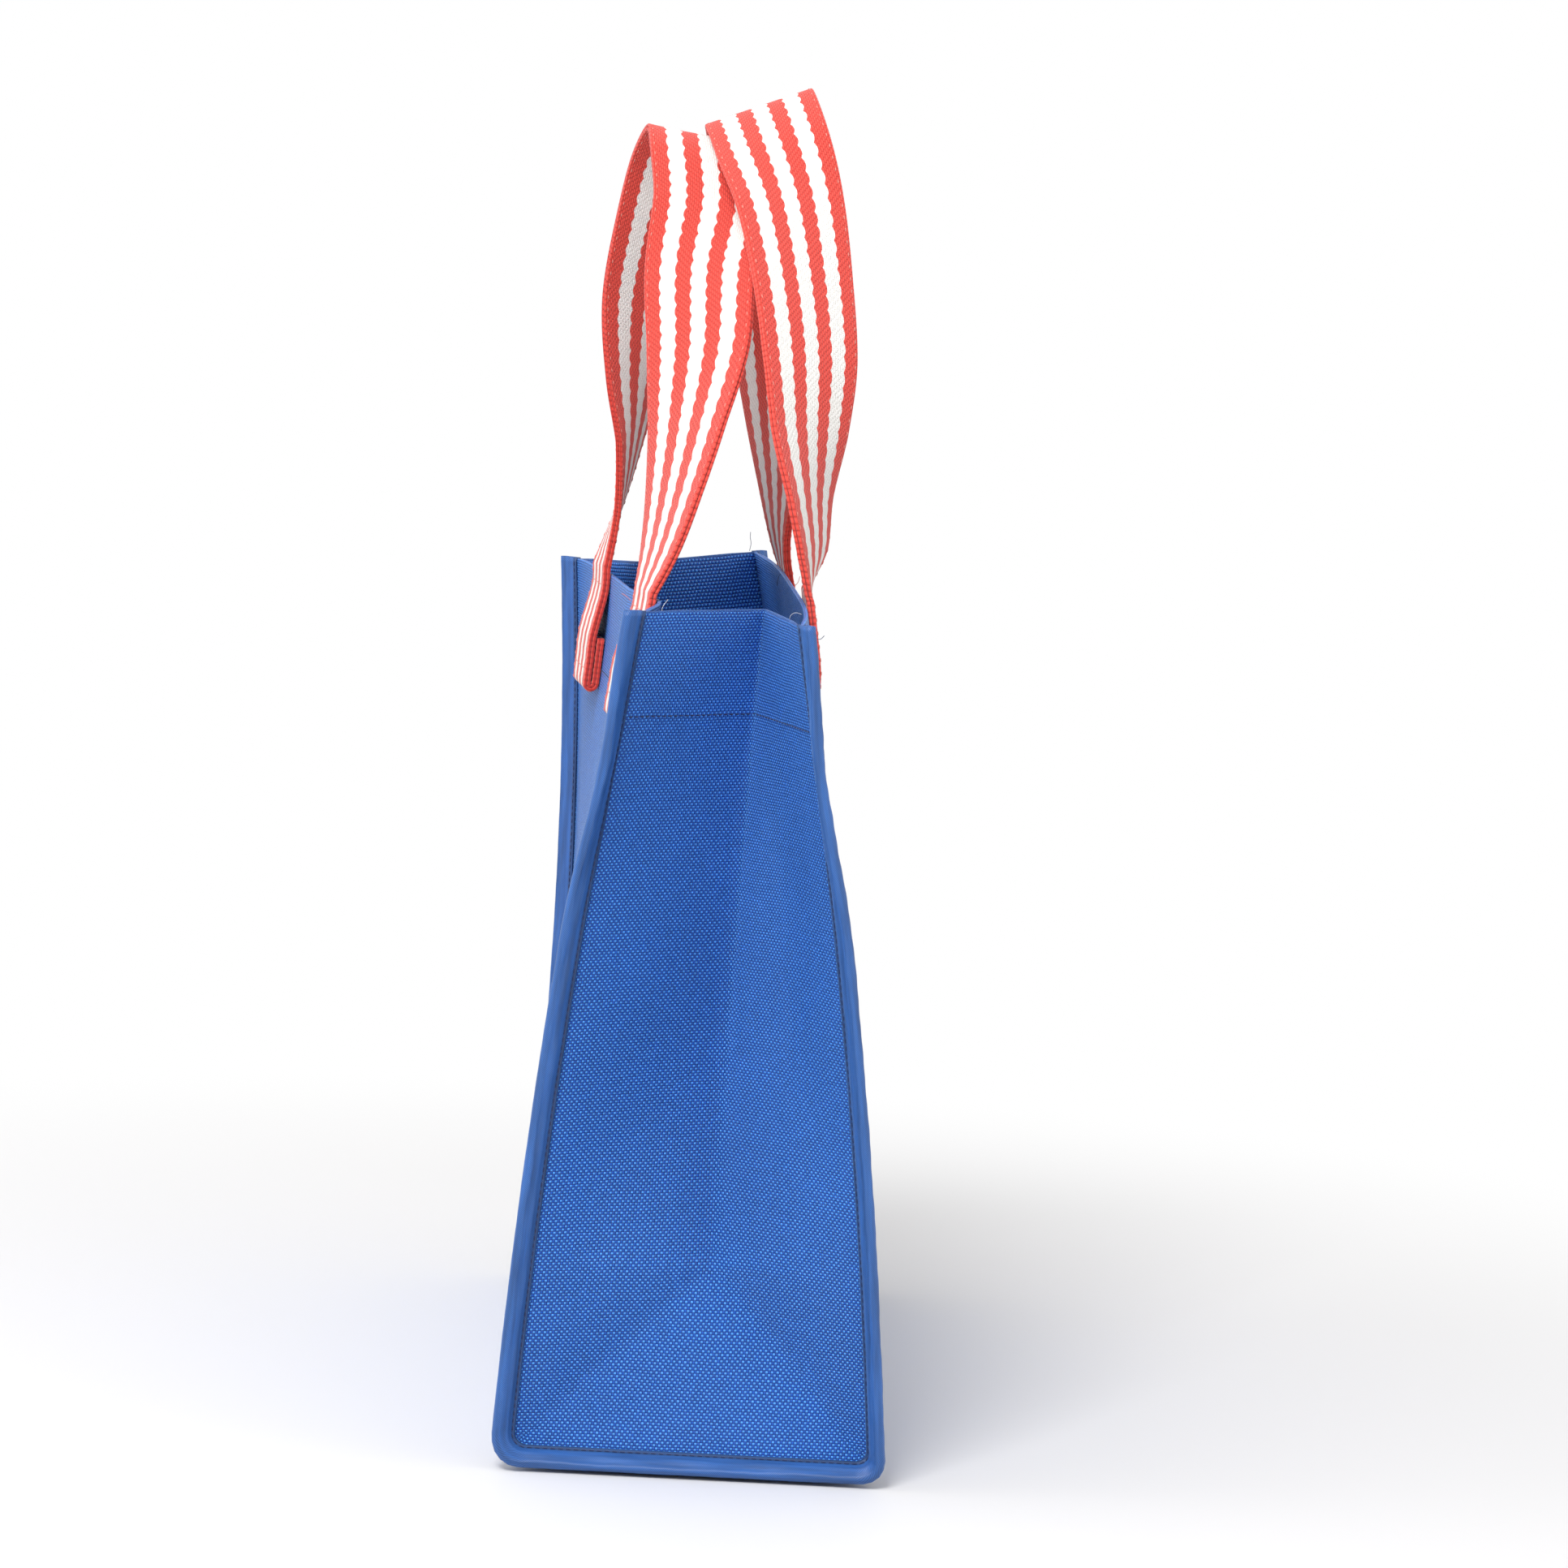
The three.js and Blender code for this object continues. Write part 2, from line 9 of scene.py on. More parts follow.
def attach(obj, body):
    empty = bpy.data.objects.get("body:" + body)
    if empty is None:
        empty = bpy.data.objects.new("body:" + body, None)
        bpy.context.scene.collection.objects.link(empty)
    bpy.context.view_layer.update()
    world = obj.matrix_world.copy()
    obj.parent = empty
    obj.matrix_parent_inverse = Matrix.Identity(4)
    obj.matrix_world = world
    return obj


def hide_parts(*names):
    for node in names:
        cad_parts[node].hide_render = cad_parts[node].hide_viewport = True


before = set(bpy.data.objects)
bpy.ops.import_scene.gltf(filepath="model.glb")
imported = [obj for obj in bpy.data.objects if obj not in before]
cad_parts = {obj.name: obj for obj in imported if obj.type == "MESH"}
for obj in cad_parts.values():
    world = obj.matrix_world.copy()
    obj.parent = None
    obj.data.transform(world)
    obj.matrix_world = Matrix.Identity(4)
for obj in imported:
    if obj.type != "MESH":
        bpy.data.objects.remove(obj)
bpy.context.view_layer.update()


# Camera
# A long lens a little over two metres off, level with the handles and turned a little, looks
# down at the near end of the bag. Every length below is in millimetres until a mesh is made.
MM = 0.001
SENSOR = 36.0
PHOTO_SIDE = 1932
FOCAL_PIXELS = 6080
EYE = (2187.5, -33.0, 503.2)
TURN_LEFT = math.radians(1.589)
LOOK_DOWN = math.radians(6.094)
ROLL = math.radians(3.3)
PATTERN_SHIFT = Vector((-2.143, 1.560, 0.0))


def to_frame(points):
    """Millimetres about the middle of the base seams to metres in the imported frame."""
    return (np.asarray(points, float) + np.array(PATTERN_SHIFT)) * MM


def make_camera():
    data = bpy.data.cameras.new("camera")
    data.sensor_width = SENSOR
    data.lens = FOCAL_PIXELS / PHOTO_SIDE * SENSOR
    data.clip_end = 50
    camera = bpy.data.objects.new("camera", data)
    ahead = Vector((
        -math.cos(TURN_LEFT) * math.cos(LOOK_DOWN),
        math.sin(TURN_LEFT) * math.cos(LOOK_DOWN),
        -math.sin(LOOK_DOWN),
    ))
    level = ahead.cross(Vector((0, 0, 1))).normalized()
    upright = level.cross(ahead)
    right = level * math.cos(ROLL) + upright * math.sin(ROLL)
    up = upright * math.cos(ROLL) - level * math.sin(ROLL)
    camera.matrix_world = Matrix.Translation(Vector(to_frame(EYE))) @ Matrix((
        right, up, -ahead,
    )).transposed().to_4x4()
    bpy.context.scene.collection.objects.link(camera)
    bpy.context.scene.camera = camera


make_camera()


# Body wrap
# One strip of heavy plain-woven polyester makes the front panel, the base and the back panel.
# It is cut with a hot knife, its two rims are turned in and topstitched, and its long edges
# stand out as a seam allowance at each end.
PANEL_LENGTH = 375
GUSSET_WIDTH = 148
BAG_HEIGHT = 356
CLOTH = 0.8
HEM_DEPTH = 44
HEM_LIFT = 0.95
HEM_TAPER = 20
HEM_AT_SEAM = 0.3
BASE_FOLD_RADIUS = 6
BASE_END_RISE = 9
BASE_END_RAMP = 45
SEAM_ALLOWANCE = 9
LAYER = 0.55
FIN_ANGLE_FRONT = 38
FIN_ANGLE_BASE = 52
FIN_ANGLE_BACK = 62
RIM_BOW = {"front": 6, "back": 7.5}
RIM_BOW_START = {"front": 0.5, "back": 0.8}
# How far the feet pull each panel off its curve: low down beside them, and at the rim.
DENT_END = 0.6
DENT_TOP = 0.85
DENT_RIM = 0.88
DENTS = {
    "front": [
        {"x": 110, "reach": 80, "low": 6, "rim": 7},
        {"x": -130, "reach": 65, "low": -3.5, "rim": -1},
    ],
    "back": [{"x": 90, "reach": 75, "low": -4.5, "rim": 0}],
}
# How far out the allowance reaches at the base corners, and where up the seam it is turned.
CORNER_REACH = 0.15
FIN_TURN_SHARE = 0.82
FIN_TURN_REACH = 0.2
# Ripples left by folding and handling, each with its height, its lengths along and up the cloth,
# its phase, and the share that it takes of the piece's own phase.
WRAP_RIPPLES = [(0.55, 31, 47, 0, 1), (0.35, 17, -29, 0, 0), (0.25, 53, 12, 0, 0)]
WRAP_STILL_EDGE = 60
WRAP_STILL_BASE = 1 / 6
WRAP_STILL_RIM = 1 / 5
APEX_HEIGHT = 75
APEX_DEPTH = 27
CREASE_DEPTH = 63
CREASE_DEPTH_POWER = 0.7
WARP_PITCH = 1.14
WEFT_PITCH = 1.19
CLOTH_STEP = 4.0
ENDS = {
    "near": {
        "side": 1,
        "front": {"y": 36, "x": -4, "z": 0, "bow": -5},
        "back": {"y": -49, "x": 12, "z": -1, "bow": 5},
        "crease_base": 4.5,
        "crease_top": 12,
        "fin_turn": 26,
    },
    "far": {
        "side": -1,
        "front": {"y": 2, "x": -10, "z": -4, "bow": 7},
        "back": {"y": -62, "x": 8, "z": 5, "bow": 4},
        "crease_base": -4,
        "crease_top": -43,
        "fin_turn": 0,
    },
}

HALF_WIDTH = GUSSET_WIDTH / 2
SEAM_HEIGHT = BAG_HEIGHT - BASE_END_RISE
APEX_SHARE = APEX_HEIGHT / SEAM_HEIGHT
CORNER_ARC = BASE_FOLD_RADIUS * math.pi / 2
WALL_RUN = SEAM_HEIGHT - BASE_FOLD_RADIUS
BASE_RUN = GUSSET_WIDTH - 2 * BASE_FOLD_RADIUS
WHOLE_RUN = 2 * (WALL_RUN + CORNER_ARC) + BASE_RUN


def smooth(value):
    value = np.clip(value, 0, 1)
    return value * value * (3 - 2 * value)


def vectors(x, y, z):
    return np.stack(np.broadcast_arrays(x, y, z), axis=-1).astype(float)


def unit(points):
    return points / np.linalg.norm(points, axis=-1, keepdims=True)


def seam_line(end, panel, share):
    """The seam of an end at a share of its height, front or back."""
    lean = end[panel]
    corner = -HALF_WIDTH if panel == "front" else HALF_WIDTH
    return vectors(
        end["side"] * PANEL_LENGTH / 2 + lean["x"] * share,
        corner + lean["y"] * share + 4 * lean["bow"] * share * (1 - share),
        BASE_END_RISE + SEAM_HEIGHT * share + lean["z"] * share,
    )


def crease_line(end, share):
    """The inward fold of a gusset, above its apex."""
    middle = (seam_line(end, "front", share) + seam_line(end, "back", share)) / 2
    above = np.clip((share - APEX_SHARE) / (1 - APEX_SHARE), 0, 1)
    depth = APEX_DEPTH + (CREASE_DEPTH - APEX_DEPTH) * above**CREASE_DEPTH_POWER
    middle[..., 0] -= end["side"] * depth
    middle[..., 1] = end["crease_base"] + (end["crease_top"] - end["crease_base"]) * share**2
    return middle


def gusset_point(end, y, z):
    """A point of a gusset, from its place on the flat cloth: y across and z up."""
    y, z = np.broadcast_arrays(np.asarray(y, float), np.asarray(z, float))
    share = np.maximum(0, z) / SEAM_HEIGHT
    across = np.minimum(1, np.abs(y) / HALF_WIDTH)[..., None]
    front = (y < 0)[..., None]
    edge = np.where(front, seam_line(end, "front", share), seam_line(end, "back", share))
    upper = crease_line(end, share) * (1 - across) + edge * across
    top = np.full_like(share, APEX_SHARE)
    apex = crease_line(end, top)
    apex_edge = np.where(front, seam_line(end, "front", top), seam_line(end, "back", top))
    lower = edge + (apex - apex_edge) * (1 - across)
    front_corner = seam_line(end, "front", share * 0)
    back_corner = seam_line(end, "back", share * 0)
    along = (y / GUSSET_WIDTH + 0.5)[..., None]
    base = front_corner * (1 - along) + back_corner * along
    foot = (front_corner + back_corner) / 2
    triangle = base + (apex - foot) * (share / APEX_SHARE)[..., None]
    side_facet = (share >= APEX_SHARE * (1 - across[..., 0]))[..., None]
    below = np.where(side_facet, lower, triangle)
    return np.where((share >= APEX_SHARE)[..., None], upper, below)


def fin(end, y, z, out_y, out_z):
    """The seam's root, the way its allowance stands out, and the way from panel to gusset."""
    down = np.maximum(0, -out_z)
    off = (np.maximum(0, z) / SEAM_HEIGHT - FIN_TURN_SHARE) / FIN_TURN_REACH
    wall = np.where(out_y < 0, FIN_ANGLE_FRONT, FIN_ANGLE_BACK)
    wall = wall + end["fin_turn"] * smooth(1 - np.abs(off))
    angle = np.radians(wall + (FIN_ANGLE_BASE - wall) * down)
    along = vectors(end["side"] * np.sin(angle), np.cos(angle) * out_y, np.cos(angle) * out_z)
    run = vectors(0, -out_z, out_y)
    to_gusset = np.cross(along, run) * end["side"]
    pointed = 1 + CORNER_REACH * np.abs(2 * out_y * out_z) ** 1.5
    return gusset_point(end, y, z), along * np.asarray(pointed)[..., None], to_gusset


def outline_at(run):
    """The seam's outline by length from the front rim, round the base, to the back rim."""
    run = np.asarray(run, float)
    side = np.where(run > WHOLE_RUN / 2, 1.0, -1.0)
    length = np.where(run > WHOLE_RUN / 2, WHOLE_RUN - run, run)
    angle = np.clip((length - WALL_RUN) / BASE_FOLD_RADIUS, 0, math.pi / 2)
    past = np.maximum(0, length - WALL_RUN - CORNER_ARC)
    out_y = side * np.cos(angle)
    out_z = -np.sin(angle)
    corner = HALF_WIDTH - BASE_FOLD_RADIUS
    y = side * (corner - past) + out_y * BASE_FOLD_RADIUS
    z = BASE_FOLD_RADIUS + out_z * BASE_FOLD_RADIUS + np.maximum(0, WALL_RUN - length)
    on_base = past > 0
    return (
        np.where(on_base, side * (corner - past), y),
        z,
        np.where(on_base, 0.0, out_y),
        np.where(on_base, -1.0, out_z),
    )


def wrap_seam(end, outline):
    root, _, to_gusset = fin(end, *outline)
    return root - to_gusset * LAYER


def ripples(rows, along, up, phase):
    """The height of a set of ripples at a place on the cloth."""
    return sum(
        height * np.sin(along / length + up / rise + start + phase * own)
        for height, length, rise, start, own in rows
    )


def dent_at(panel, x, share):
    """How far a panel is off its curve, towards the back, at a place along and up it."""
    low = smooth((share - DENT_END) / (DENT_TOP - DENT_END))
    rim = smooth((share - DENT_RIM) / (1 - DENT_RIM))
    return sum(
        smooth(1 - np.abs(x - dent["x"]) / dent["reach"])
        * (dent["low"] * low + (dent["rim"] - dent["low"]) * rim)
        for dent in DENTS[panel]
    )


def wrap_point(outline, span):
    """A point of the wrap, span running from 0 at the far seam to 1 at the near one."""
    span = np.asarray(span, float)
    far, near = wrap_seam(ENDS["far"], outline), wrap_seam(ENDS["near"], outline)
    point = far * (1 - span[..., None]) + near * span[..., None]
    share = outline[1] / SEAM_HEIGHT
    from_seam = np.minimum(span, 1 - span) * PANEL_LENGTH
    drop = BASE_END_RISE - LAYER * math.sin(math.radians(FIN_ANGLE_BASE)) - CLOTH / 2
    point[..., 2] -= drop * smooth(from_seam / BASE_END_RAMP) * (1 - share) ** 2
    bow = np.where(outline[0] < 0, RIM_BOW["front"], RIM_BOW["back"])
    start = np.where(outline[0] < 0, RIM_BOW_START["front"], RIM_BOW_START["back"])
    rise = smooth((share - start) / (1 - start))
    point[..., 1] += bow * rise * (1 - (2 * span - 1) ** 4)
    x = (span - 0.5) * PANEL_LENGTH
    dent = [dent_at(panel, x, share) for panel in ("front", "back")]
    point[..., 1] += np.where(outline[0] < 0, dent[0], dent[1])
    still = (
        smooth(from_seam / WRAP_STILL_EDGE)
        * smooth(share / WRAP_STILL_BASE)
        * smooth((1 - share) / WRAP_STILL_RIM)
    )
    point[..., 1] += ripples(WRAP_RIPPLES, x, outline[1], outline[0]) * still
    return point


def normals(points):
    """Unit normals of a grid of points, columns first."""
    columns = np.gradient(points, axis=0)
    rows = np.gradient(points, axis=1)
    return unit(np.cross(columns, rows))


def finished(name, bm):
    """An object at the origin that holds a bmesh's shape."""
    mesh = bpy.data.meshes.new(name)
    bm.to_mesh(mesh)
    bm.free()
    piece = bpy.data.objects.new(name, mesh)
    bpy.context.scene.collection.objects.link(piece)
    return piece


def stand_for(piece, node, material):
    """Puts a piece in the place of its node, in its own material."""
    piece.data.materials.append(material)
    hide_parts(node)
    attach(piece, "root")


def sheet_mesh(name, points, flat_x, flat_y):
    """A grid mesh whose vertices go to the given points, with its flat sizes as its UV map."""
    columns, rows = points.shape[:2]
    bm = bmesh.new()
    bmesh.ops.create_grid(bm, x_segments=columns - 1, y_segments=rows - 1, size=0.5)
    layer = bm.loops.layers.uv.new("flat")
    place = to_frame(points)
    cells = {}
    for vert in bm.verts:
        i = round((vert.co.x + 0.5) * (columns - 1))
        j = round((vert.co.y + 0.5) * (rows - 1))
        cells[vert] = (i, j)
        vert.co = place[i, j]
    for face in bm.faces:
        face.smooth = True
        for loop in face.loops:
            i, j = cells[loop.vert]
            loop[layer].uv = (flat_x[i] * MM, flat_y[j] * MM)
    return finished(name, bm)


def thicken(piece, thickness):
    wall = piece.modifiers.new("thickness", "SOLIDIFY")
    wall.thickness = thickness * MM
    wall.offset = 0
    wall.use_even_offset = False


def hem_rows(count, lift):
    """Rows of a rim turned in: each is the distance down from the rim, how far the cloth has
    moved inwards and how far it rises over the fold, from the raw edge to the rim."""
    arc = [math.pi * k / 6 for k in range(6, 0, -1)]
    turned = [(HEM_DEPTH * (1 - k / count), lift, 0.0) for k in range(count)]
    fold = [(0.0, lift / 2 * (1 - math.cos(a)), lift / 2 * math.sin(a)) for a in arc]
    return turned + fold


def hemmed(base, inward, rows, taper):
    """Lays rows of (index, lift, rise) over a grid of points."""
    result = []
    for index, lift, rise in rows:
        row = base[:, index] + inward[:, index] * (lift * taper)[:, None]
        row[:, 2] += rise * taper
        result.append(row)
    return np.stack(result, axis=1)


def make_wrap():
    half = list(np.linspace(0, PANEL_LENGTH, round(PANEL_LENGTH / CLOTH_STEP) + 1))
    flat_x = [-SEAM_ALLOWANCE, -SEAM_ALLOWANCE / 2, *half]
    flat_x += [PANEL_LENGTH + SEAM_ALLOWANCE / 2, PANEL_LENGTH + SEAM_ALLOWANCE]
    hem = hem_rows(10, HEM_LIFT)
    hem_runs = sorted({row[0] for row in hem})
    walls = list(np.linspace(HEM_DEPTH, WALL_RUN, round(WALL_RUN / CLOTH_STEP)))[1:]
    corner = list(WALL_RUN + CORNER_ARC * np.linspace(0, 1, 9)[1:])
    base = list(np.linspace(WALL_RUN + CORNER_ARC, WHOLE_RUN / 2, 18))[1:-1]
    front = hem_runs + walls + corner + base
    runs = np.array(front + [WHOLE_RUN / 2] + [WHOLE_RUN - run for run in reversed(front)])
    outline = outline_at(runs)
    points = []
    for x in flat_x:
        if 0 <= x <= PANEL_LENGTH:
            points.append(wrap_point(outline, np.full(len(runs), x / PANEL_LENGTH)))
        else:
            end = ENDS["far" if x < 0 else "near"]
            out = -x if x < 0 else x - PANEL_LENGTH
            points.append(wrap_seam(end, outline) + fin(end, *outline)[1] * out)
    points = np.array(points)
    inward = normals(points)
    middle = vectors(0, -outline[0], SEAM_HEIGHT - outline[1])
    if (inward * middle[None]).sum() < 0:
        inward = -inward
    order = {run: k for k, run in enumerate(runs)}
    front_hem = [(order[down], lift, rise) for down, lift, rise in hem]
    last = len(runs) - 1
    back_hem = [(last - index, lift, rise) for index, lift, rise in reversed(front_hem)]
    rows = front_hem + [(k, 0.0, 0.0) for k in range(len(runs))] + back_hem
    flat_x = np.array(flat_x)
    from_seam = np.minimum(flat_x, PANEL_LENGTH - flat_x)
    taper = HEM_AT_SEAM + (1 - HEM_AT_SEAM) * smooth(from_seam / HEM_TAPER)
    grid = hemmed(points, inward, rows, taper)
    steps = np.linalg.norm(np.diff(grid[len(flat_x) // 2], axis=0), axis=-1)
    flat_y = np.concatenate([[0], np.cumsum(steps)])
    piece = sheet_mesh("body_cloth", grid, flat_x, flat_y)
    thicken(piece, CLOTH)
    return piece


def linear(code):
    """An sRGB hex colour as the linear values that a shader takes."""
    parts = [int(code[k : k + 2], 16) / 255 for k in (1, 3, 5)]
    return (*[p / 12.92 if p <= 0.04045 else ((p + 0.055) / 1.055) ** 2.4 for p in parts], 1)


def add_node(tree, kind, settings, links):
    """Adds a node, sets its settings, and gives each input a value or another node's output."""
    node = tree.nodes.new("ShaderNode" + kind)
    for name, value in settings.items():
        setattr(node, name, value)
    for name, value in links.items():
        if isinstance(value, bpy.types.Node):
            value = value.outputs[0]
        if isinstance(value, bpy.types.NodeSocket):
            tree.links.new(value, node.inputs[name])
        else:
            node.inputs[name].default_value = value
    return node


def new_material(name):
    material = bpy.data.materials.new(name)
    material.use_nodes = True
    material.node_tree.nodes.clear()
    return material, material.node_tree


def woven_polyester():
    """Polyester oxford cloth, plain-woven from thick bright filament yarn with a coated back.
    Where a weft yarn lies on top it is coloured lighter as a short bright dash, a painted
    highlight; the warp's crowns between them are coloured darker, the colour darkens into the
    gaps between the yarns as painted shade, and at a low angle the yarns scatter a pale haze."""
    material, tree = new_material("polyester_oxford")
    flat = add_node(tree, "UVMap", {"uv_map": "flat"}, {})
    wander = add_node(tree, "TexNoise", {}, {"Vector": flat, "Scale": 55.0, "Detail": 3.0})
    moved = add_node(tree, "VectorMath", {"operation": "MULTIPLY_ADD"}, {
        0: wander.outputs["Color"],
        1: (WARP_PITCH * MM * 0.8,) * 3,
        2: flat,
    })
    cell = add_node(tree, "VectorMath", {"operation": "DIVIDE"}, {
        0: moved,
        1: (WARP_PITCH * MM, WEFT_PITCH * MM, 1.0),
    })
    turn = add_node(tree, "VectorMath", {"operation": "SCALE"}, {0: cell, "Scale": math.pi})
    wave = add_node(tree, "VectorMath", {"operation": "SINE"}, {0: turn})
    height = add_node(tree, "VectorMath", {"operation": "ABSOLUTE"}, {0: wave})
    signed = add_node(tree, "SeparateXYZ", {}, {0: wave})
    rounds = add_node(tree, "SeparateXYZ", {}, {0: height})
    product = add_node(tree, "Math", {"operation": "MULTIPLY"}, {0: signed.outputs[0], 1: signed.outputs[1]})
    warp_over = add_node(tree, "Math", {"operation": "GREATER_THAN"}, {0: product, 1: 0.0})
    warp_power = add_node(tree, "Math", {"operation": "MULTIPLY_ADD"}, {0: warp_over, 1: 0.55, 2: 0.35})
    weft_power = add_node(tree, "Math", {"operation": "MULTIPLY_ADD"}, {0: warp_over, 1: -0.55, 2: 0.9})
    warp = add_node(tree, "Math", {"operation": "POWER"}, {0: rounds.outputs[0], 1: warp_power})
    weft = add_node(tree, "Math", {"operation": "POWER"}, {0: rounds.outputs[1], 1: weft_power})
    crown_relief_and_shade_mask = add_node(tree, "Math", {"operation": "MULTIPLY"}, {0: warp, 1: weft})
    yarn = add_node(tree, "VectorMath", {"operation": "FLOOR"}, {0: cell})
    tone = add_node(tree, "TexWhiteNoise", {"noise_dimensions": "2D"}, {"Vector": yarn})
    cloud = add_node(tree, "TexNoise", {}, {"Vector": flat, "Scale": 14.0, "Detail": 4.0})
    lit = add_node(tree, "MapRange", {}, {
        "Value": tone, "From Min": 0.0, "From Max": 1.0, "To Min": 0.88, "To Max": 1.12,
    })
    clouded = add_node(tree, "MapRange", {}, {
        "Value": cloud, "From Min": 0.3, "From Max": 0.7, "To Min": 0.93, "To Max": 1.07,
    })
    level = add_node(tree, "Math", {"operation": "MULTIPLY"}, {0: lit, 1: clouded})
    # Painted highlight: a weft yarn on top is coloured lighter than a warp yarn on top.
    yarn_top_painted_highlight = add_node(tree, "Mix", {"data_type": "RGBA"}, {
        0: warp_over, 6: linear("#58AAFF"), 7: linear("#105AC6"),
    })
    # Painted shade: the colour darkens into the gaps between the yarns, where the crown is low; the crown
    # also drives the bump.
    color = add_node(tree, "Mix", {"data_type": "RGBA"}, {
        0: crown_relief_and_shade_mask, 6: linear("#04257C"), 7: yarn_top_painted_highlight.outputs[2],
    })
    varied = add_node(tree, "VectorMath", {"operation": "SCALE"}, {0: color.outputs[2], "Scale": level})
    bump = add_node(tree, "Bump", {}, {"Strength": 1.0, "Distance": 0.0004, "Height": crown_relief_and_shade_mask})
    shader = add_node(tree, "BsdfPrincipled", {}, {
        "Base Color": varied,
        "Roughness": 0.42,
        "IOR": 1.5,
        "Specular IOR Level": 0.45,
        "Sheen Weight": 0.14,
        "Sheen Roughness": 0.4,
        "Sheen Tint": linear("#A0CCF2"),
        "Normal": bump,
    })
    add_node(tree, "OutputMaterial", {}, {"Surface": shader})
    return material


OXFORD = woven_polyester()
wrap = make_wrap()
stand_for(wrap, "body_wrap", OXFORD)


# Gussets
# Each end is one panel of the same cloth, pressed to fold inwards along its middle, with two
# diagonal folds that part a triangle over the base. Its rim is turned in like the wrap's.
GUSSET_STEP = 2.0
FOLD_ROUNDING = 1.7
CREASE_ROUNDING = 5
CREASE_EASE_FOOT = 70
CREASE_EASE_RIM = 90
GUSSET_RIPPLES = [(0.5, 13, 37, 0, 1), (0.45, 21, -23, 0, 0), (0.3, 9, 61, 2, 0)]
GUSSET_STILL_EDGE = 18
# Two dents: a broad one over both halves low down, and one in the back half further up.
BELLY = {"depth": 6, "z": 150, "up": 95, "edge": 50}
HOLLOW = {"depth": 8, "z": 215, "up": 110, "y": 40, "across": 36}


def gusset_flat(y, z):
    """Where a place on the flat gusset lies against its outline, and how far outside it."""
    y, z = np.broadcast_arrays(np.asarray(y, float), np.asarray(z, float))
    side = np.where(y < 0, -1.0, 1.0)
    corner = HALF_WIDTH - BASE_FOLD_RADIUS
    past = np.abs(y) - corner
    below = BASE_FOLD_RADIUS - z
    in_corner = (past > 0) & (below > 0)
    reach = np.maximum(past, below)
    angle = np.arctan2(np.maximum(below, 0), np.maximum(past, 1e-9))
    radius = np.minimum(reach, BASE_FOLD_RADIUS)
    near_wall = HALF_WIDTH - np.abs(y) <= z
    out_y = np.where(in_corner, side * np.cos(angle), np.where(near_wall, side, 0.0))
    out_z = np.where(in_corner, -np.sin(angle), np.where(near_wall, 0.0, -1.0))
    seam_y = np.where(in_corner, side * corner + out_y * radius, np.clip(y, -HALF_WIDTH, HALF_WIDTH))
    seam_z = np.where(in_corner, BASE_FOLD_RADIUS + out_z * radius, np.maximum(z, 0))
    outside = np.where(in_corner, reach - BASE_FOLD_RADIUS, np.maximum(past - BASE_FOLD_RADIUS, -z))
    return seam_y, seam_z, out_y, out_z, np.maximum(outside, 0)


def gusset_surface(end, y, z):
    """The gusset with its folds rounded, and the dents that handling has left in it."""
    seam_y, seam_z, out_y, out_z, outside = gusset_flat(y, z)
    root, along, to_gusset = fin(end, seam_y, seam_z, out_y, out_z)
    above, below = seam_z - APEX_HEIGHT, SEAM_HEIGHT - seam_z
    eased = smooth(above / CREASE_EASE_FOOT) * smooth(below / CREASE_EASE_RIM)
    reach = FOLD_ROUNDING + (CREASE_ROUNDING - FOLD_ROUNDING) * eased
    room = np.minimum(HALF_WIDTH - np.abs(seam_y), reach)
    drop = np.minimum(np.minimum(seam_z, SEAM_HEIGHT - seam_z), FOLD_ROUNDING)
    rounded = (
        root * 2
        + gusset_point(end, seam_y - room, seam_z)
        + gusset_point(end, seam_y + room, seam_z)
        + gusset_point(end, seam_y, seam_z - drop)
        + gusset_point(end, seam_y, seam_z + drop)
    ) / 6
    inside = (outside <= 0)[..., None]
    from_seam = np.minimum(HALF_WIDTH - np.abs(seam_y), seam_z)
    lift = LAYER * np.where(outside > 0, 1, np.maximum(0, 1 - from_seam / HEM_TAPER))
    point = np.where(inside, rounded, root) + to_gusset * lift[..., None]
    point += along * outside[..., None]
    wave = ripples(GUSSET_RIPPLES, y, z, end["side"]) * smooth(from_seam / GUSSET_STILL_EDGE)
    belly = smooth(1 - np.abs(z - BELLY["z"]) / BELLY["up"]) * smooth(from_seam / BELLY["edge"])
    hollow = smooth(1 - np.abs(z - HOLLOW["z"]) / HOLLOW["up"])
    hollow = hollow * smooth(1 - np.abs(y - HOLLOW["y"]) / HOLLOW["across"])
    point[..., 0] += end["side"] * (wave - BELLY["depth"] * belly - HOLLOW["depth"] * hollow)
    return point


